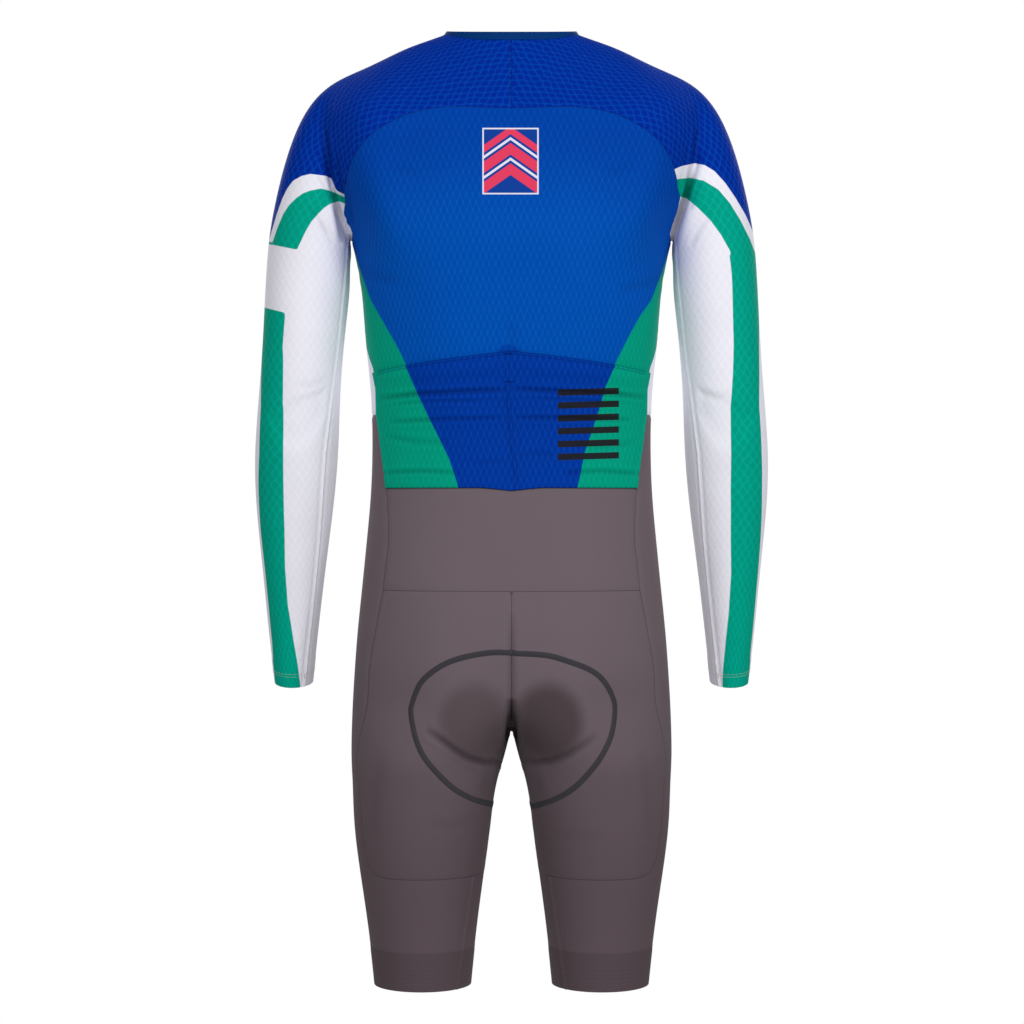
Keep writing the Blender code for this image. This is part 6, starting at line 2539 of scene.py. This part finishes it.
@dataclass(frozen=True)
class ZipHead:
    """The zip's slider and its pull tab; Y runs up the chain and Z out of the chest.

    Each pair is the width and depth of an inset.
    """

    lean: float = 30.325
    hinge_height: float = 4.9
    body: tuple[float, float, float] = (8.5, 12.0, 3.6)
    seat: float = 0.3
    shell_edge: float = 0.28
    cheek_wall: float = 0.9
    cheek_length: float = 4.4
    cheek_top: float = 0.7
    cheek_sunk: float = 0.6
    cheek_round: float = 1.2
    cheek_edge: float = 0.12
    pin_radius: float = 0.5
    pin_over: float = 0.3
    pin_edge: float = 0.1
    tail: float = 0.74
    mouth: Point2 = (0.7, -0.6)
    flank: Point2 = (0.8, -0.7)
    crown: Point2 = (0.35, -0.3)
    crown_rim: float = 0.9
    tab: tuple[float, float, float] = (6.0, 21.0, 1.4)
    tab_back: float = 1.0
    neck_y: float = -3.6
    neck: float = 0.66
    grip_y: float = -6.4
    grip_end: float = 2.6
    grip: Point2 = (0.3, -0.28)
    grip_rim: float = 1.1
    tab_round: float = 2.2
    tab_edge: float = 0.22

    def hinge(self) -> Matrix:
        """Return the frame at the tab's hinge, in metres."""
        joint = next(joint for joint in frame["joints"] if joint["name"] == "pull_tab_swing")
        turn = Matrix.Rotation(math.radians(90.0 - self.lean), 4, "X")
        return Matrix.Translation(Vector(joint["pos_m"])) @ turn

    def slider(self, bench: Workbench) -> bpy.types.Object:
        """Model the slider: a waisted shell with open sides, two cheeks and a riveted pin."""
        across, along, high = self.body
        floor = self.seat - self.hinge_height
        shell = bench.block((-0.5 * across, -0.5 * along, floor),
                            (0.5 * across, 0.5 * along, floor + high))
        bench.edit()
        bench.pick(lambda middle, normal: normal.y < -0.9)
        bpy.ops.transform.resize(value=(self.tail, 1.0, 1.0),
                                 center_override=(0.0, -0.5 * along, 0.0))
        bench.pick(lambda middle, normal: normal.y > 0.9)
        bpy.ops.mesh.inset(thickness=self.mouth[0], depth=self.mouth[1])
        bench.pick(lambda middle, normal: abs(normal.x) > 0.9)
        bpy.ops.mesh.inset(thickness=self.flank[0], depth=self.flank[1], use_individual=True)
        bench.pick(lambda middle, normal: normal.z > 0.9 and middle.z > floor + high - 0.1)
        bpy.ops.mesh.inset(thickness=self.crown_rim, depth=0.0)
        bpy.ops.mesh.inset(thickness=self.crown[0], depth=self.crown[1])
        bpy.ops.object.mode_set(mode="OBJECT")
        bench.round_off(shell, self.shell_edge)
        parts = [shell]
        half_length = 0.5 * self.cheek_length
        for hand in (1.0, -1.0):
            x = sorted((hand * (0.5 * across - self.cheek_wall), hand * 0.5 * across))
            cheek = bench.block((x[0], -half_length, floor + high - self.cheek_sunk),
                                (x[1], half_length, self.cheek_top))
            bench.edit()
            bench.pick_edges(lambda a, b: abs(a.x - b.x) > 0.1
                             and min(a.z, b.z) > self.cheek_top - 0.1)
            bpy.ops.mesh.bevel(offset=self.cheek_round, segments=5, affect="EDGES")
            bpy.ops.object.mode_set(mode="OBJECT")
            bench.round_off(cheek, self.cheek_edge, 2)
            parts.append(cheek)
        bpy.ops.object.select_all(action="DESELECT")
        bpy.ops.mesh.primitive_cylinder_add(vertices=24, radius=self.pin_radius,
                                            depth=across + self.pin_over,
                                            rotation=(0.0, math.radians(90.0), 0.0))
        pin = bpy.context.object
        bpy.ops.object.transform_apply(rotation=True)
        bench.round_off(pin, self.pin_edge, 2)
        return bench.join([*parts, pin], "zip_slider_body", self.hinge())

    def pull(self, bench: Workbench) -> bpy.types.Object:
        """Model the pull tab: a waisted plate with a round free end and a sunk grip each side."""
        width, length, thick = self.tab
        low = self.tab_back - length
        plate = bench.block((-0.5 * width, low, -0.5 * thick),
                            (0.5 * width, self.tab_back, 0.5 * thick))
        bench.edit()
        neck_y, grip_low = self.neck_y, low + self.grip_end
        for cut in (neck_y, self.grip_y, grip_low):
            bpy.ops.mesh.select_all(action="SELECT")
            bpy.ops.mesh.bisect(plane_co=(0.0, cut, 0.0), plane_no=(0.0, 1.0, 0.0))
        bench.pick_edges(lambda a, b: abs(a.x - b.x) > 1.0
                         and abs(a.y - neck_y) < 0.1 > abs(b.y - neck_y))
        bpy.ops.transform.resize(value=(self.neck, 1.0, 1.0), center_override=(0.0, neck_y, 0.0))
        bench.pick_edges(lambda a, b: abs(a.z - b.z) > 1.0 and a.y < low + 0.1 and b.y < low + 0.1)
        bpy.ops.mesh.bevel(offset=self.tab_round, segments=6, affect="EDGES")
        bpy.ops.mesh.select_mode(type="FACE")
        bench.pick(lambda middle, normal: abs(normal.z) > 0.9
                   and grip_low < middle.y < self.grip_y - 0.1)
        bpy.ops.mesh.inset(thickness=self.grip_rim, depth=0.0, use_individual=True)
        bpy.ops.mesh.inset(thickness=self.grip[0], depth=self.grip[1], use_individual=True)
        bpy.ops.object.mode_set(mode="OBJECT")
        bench.round_off(plate, self.tab_edge)
        return bench.join([plate], "zip_pull_tab", self.hinge())

    def build(self, material: bpy.types.Material) -> None:
        """Model both and dress them."""
        bench = Workbench()
        body, tab = self.slider(bench), self.pull(bench)
        finish_piece(body, material, SUIT)
        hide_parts("zip_slider")
        finish_piece(tab, material, PULL_TAB)
        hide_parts("zip_pull")


# ---------------------------------------------------------------- assembly
def add_trims(made: dict[str, Panel], cloth: Cloth) -> None:
    """Sew the suit and set its zip.

    Args:
        made: the panels by node name.
        cloth: the whole suit at the panels' fineness.
    """
    dark_grey = ThreadFinish("dark grey thread", (64, 62, 67)).make()
    navy = ThreadFinish("navy thread", (6, 30, 96)).make()
    pale_blue = ThreadFinish("bright blue thread", (4, 84, 186)).make()
    beige = ThreadFinish("beige thread", (206, 198, 186)).make()
    grey = ThreadFinish("grey thread", (88, 77, 83)).make()
    white = ThreadFinish("white thread", (226, 226, 232)).make()
    bed = TapeFinish("looped grey thread", (70, 68, 73), (52, 50, 55), 0.8, 0.6).make()
    binding = TapeFinish("elastic binding", (0, 56, 120), (0, 40, 92), 1.0, 0.8).make()
    shorts = [made[name + side] for name in ("seat_", "leg_") for side in ("left", "right")]
    PadSeam().build(Skin(*shorts), bed, dark_grey)
    PocketSewing().build(Skin(made["pocket_panel"]), navy, pale_blue)
    for half in (Half.LEFT, Half.RIGHT):
        side = half.name.lower()
        LimbSewing().build(made["sleeve_" + side], made["leg_" + side], half, beige, grey)
    NeckTape().build(cloth, Skin(made["sleeve_left"], made["sleeve_right"], made["front_left"],
                                 made["front_right"]), binding, navy)
    head = ZipHead()
    slider_z = head.hinge().translation.z / MM
    tape = Panel("zip_tape", Finish.COIL, (0.012, 0.35), 0.0023, node="zip_chain")
    tape.build(cloth)
    woven = TapeFinish("woven zip tape", (214, 214, 222), (184, 184, 194), 0.55, 0.7, slider_z)
    tape.dress(woven.make())
    coil = HardFinish("moulded coil", (188, 188, 196), (206, 206, 212), 0.0, 0.45, 0.0)
    ZipCoil().build(tape, slider_z, coil.make())
    fronts = {Half.LEFT: made["front_left"], Half.RIGHT: made["front_right"]}
    ZipTopstitch().build(fronts, tape, white)
    lacquer = HardFinish("dark lacquer", (46, 46, 50), (104, 104, 108), 0.85, 0.38, 0.3)
    head.build(lacquer.make())


# ---------------------------------------------------------------- studio
def add_floor(radius: float = 0.6, depth: float = 0.01, middle_z: float = -1.115) -> None:
    """Lay a small pale disc under the suit, below the main view; sizes in metres."""
    bpy.ops.mesh.primitive_cylinder_add(vertices=96, radius=radius, depth=depth,
                                        location=(0.0, 0.0, middle_z))
    floor = bpy.context.object
    floor.name = "floor"
    bpy.ops.object.transform_apply(location=True)
    floor.data.materials.append(Look("floor", Roughness=0.8).finish((0.85, 0.85, 0.85, 1.0)))


@dataclass(frozen=True)
class SoftLights:
    """Soft boxes before and behind the suit, in a white room; each has its turn and its watts."""

    target: tuple[float, float, float] = (0.0, 0.0, -0.455)
    boxes: tuple[tuple[float, float], ...] = ((-34.0, 52.0), (26.0, 34.0), (155.0, 40.0),
                                              (205.0, 40.0))
    reach: float = 3.0
    height: float = 1.15
    width: float = 1.6
    room: float = 0.32

    def light_room(self) -> None:
        """Show white to the camera, and light the suit with less from all round."""
        world = bpy.data.worlds.new("white room")
        bpy.context.scene.world = world
        world.use_nodes = True
        tree = world.node_tree
        seen = tree.nodes["Background"]
        seen.inputs["Color"].default_value = (1.0, 1.0, 1.0, 1.0)
        seen.inputs["Strength"].default_value = 1.0
        around = tree.nodes.new("ShaderNodeBackground")
        around.inputs["Color"].default_value = (1.0, 1.0, 1.0, 1.0)
        around.inputs["Strength"].default_value = self.room
        either = tree.nodes.new("ShaderNodeMixShader")
        path = tree.nodes.new("ShaderNodeLightPath")
        tree.links.new(path.outputs["Is Camera Ray"], either.inputs[0])
        tree.links.new(around.outputs[0], either.inputs[1])
        tree.links.new(seen.outputs[0], either.inputs[2])
        tree.links.new(either.outputs[0], tree.nodes["World Output"].inputs["Surface"])

    def add_boxes(self) -> None:
        """Hang the soft boxes round the suit; turn 0 is behind its back."""
        target = Vector(self.target)
        for number, (turn, watts) in enumerate(self.boxes):
            data = bpy.data.lights.new("soft box %d" % number, "AREA")
            data.shape = "SQUARE"
            data.size = self.width
            data.energy = watts
            box = bpy.data.objects.new(data.name, data)
            angle = math.radians(turn)
            away = Vector((math.sin(angle), math.cos(angle), 0.0)) * self.reach
            box.location = target + away + Vector((0.0, 0.0, self.height))
            box.rotation_euler = (target - box.location).to_track_quat("-Z", "Y").to_euler()
            bpy.context.scene.collection.objects.link(box)


def add_lights() -> None:
    """Light the suit softly on a white ground."""
    lights = SoftLights()
    lights.light_room()
    lights.add_boxes()
    bpy.context.scene.view_settings.view_transform = "Standard"


def main() -> None:
    """Build the suit piece by piece."""
    logging.basicConfig(level=logging.INFO, format="%(message)s")
    form = SmoothForm()
    cloths = {}
    for level in (3, 4):
        cloths[level] = Cloth(*form.at_level(level))
        cloths[level].cut_seams()
        RELIEF.apply(cloths[level])
        log.info("cloth at level %d: %d triangles", level, len(cloths[level].triangles))
    cloth_finishes = Cloths(diamond_knit(), stitch_grain(), dye())
    materials = {Finish.JERSEY: cloth_finishes.jersey("jersey knit", BACK_BLUE),
                 Finish.RAGLAN: cloth_finishes.raglan(), Finish.FRONT: cloth_finishes.front(),
                 Finish.STRETCH: cloth_finishes.stretch()}
    pocket_knit = cloth_finishes.jersey("pocket knit", POCKET_BLUE)
    made = {}
    for panel in panels():
        panel.build(cloths[panel.level])
        made[panel.node] = panel
        panel.dress(pocket_knit if isinstance(panel, PocketPanel) else materials[panel.held])
        log.info("%s: %d triangles", panel.name, len(panel.shell.data.polygons))
    add_trims(made, cloths[4])
    add_floor()
    add_lights()
    STUDIO.add_camera()


def panels() -> list[Panel]:
    """List the suit's panels, each with the size of its cut."""
    made: list[Panel] = [
        Panel("back_cloth", Finish.JERSEY, (0.36, 0.42), 0.118, node="back_panel",
              print_plan=BackPrint()),
        PocketPanel("pocket_cloth", Finish.JERSEY, (0.29, 0.15), 0.036, node="pocket_panel",
                    lift=1.9, print_plan=BackPrint()),
        Panel("lumbar_cloth", Finish.STRETCH, (0.27, 0.11), 0.025, node="lumbar_panel", level=3),
    ]
    for side, print_plan in (("left", LEFT_PRINT), ("right", RIGHT_PRINT)):
        made += [
            Panel("sleeve_cloth_" + side, Finish.RAGLAN, (0.36, 0.72), 0.168,
                  node="sleeve_" + side, raglan=True, slit=Line.SLEEVE_SEAM, print_plan=print_plan),
            Panel("front_cloth_" + side, Finish.FRONT, (0.20, 0.34), 0.048, node="front_" + side),
            Panel("seat_cloth_" + side, Finish.STRETCH, (0.18, 0.38), 0.049, node="seat_" + side),
            Panel("leg_cloth_" + side, Finish.STRETCH, (0.34, 0.58), 0.148, node="leg_" + side,
                  level=3, slit=Line.HEM_SEAM),
        ]
    return made


if __name__ == "__main__":
    main()
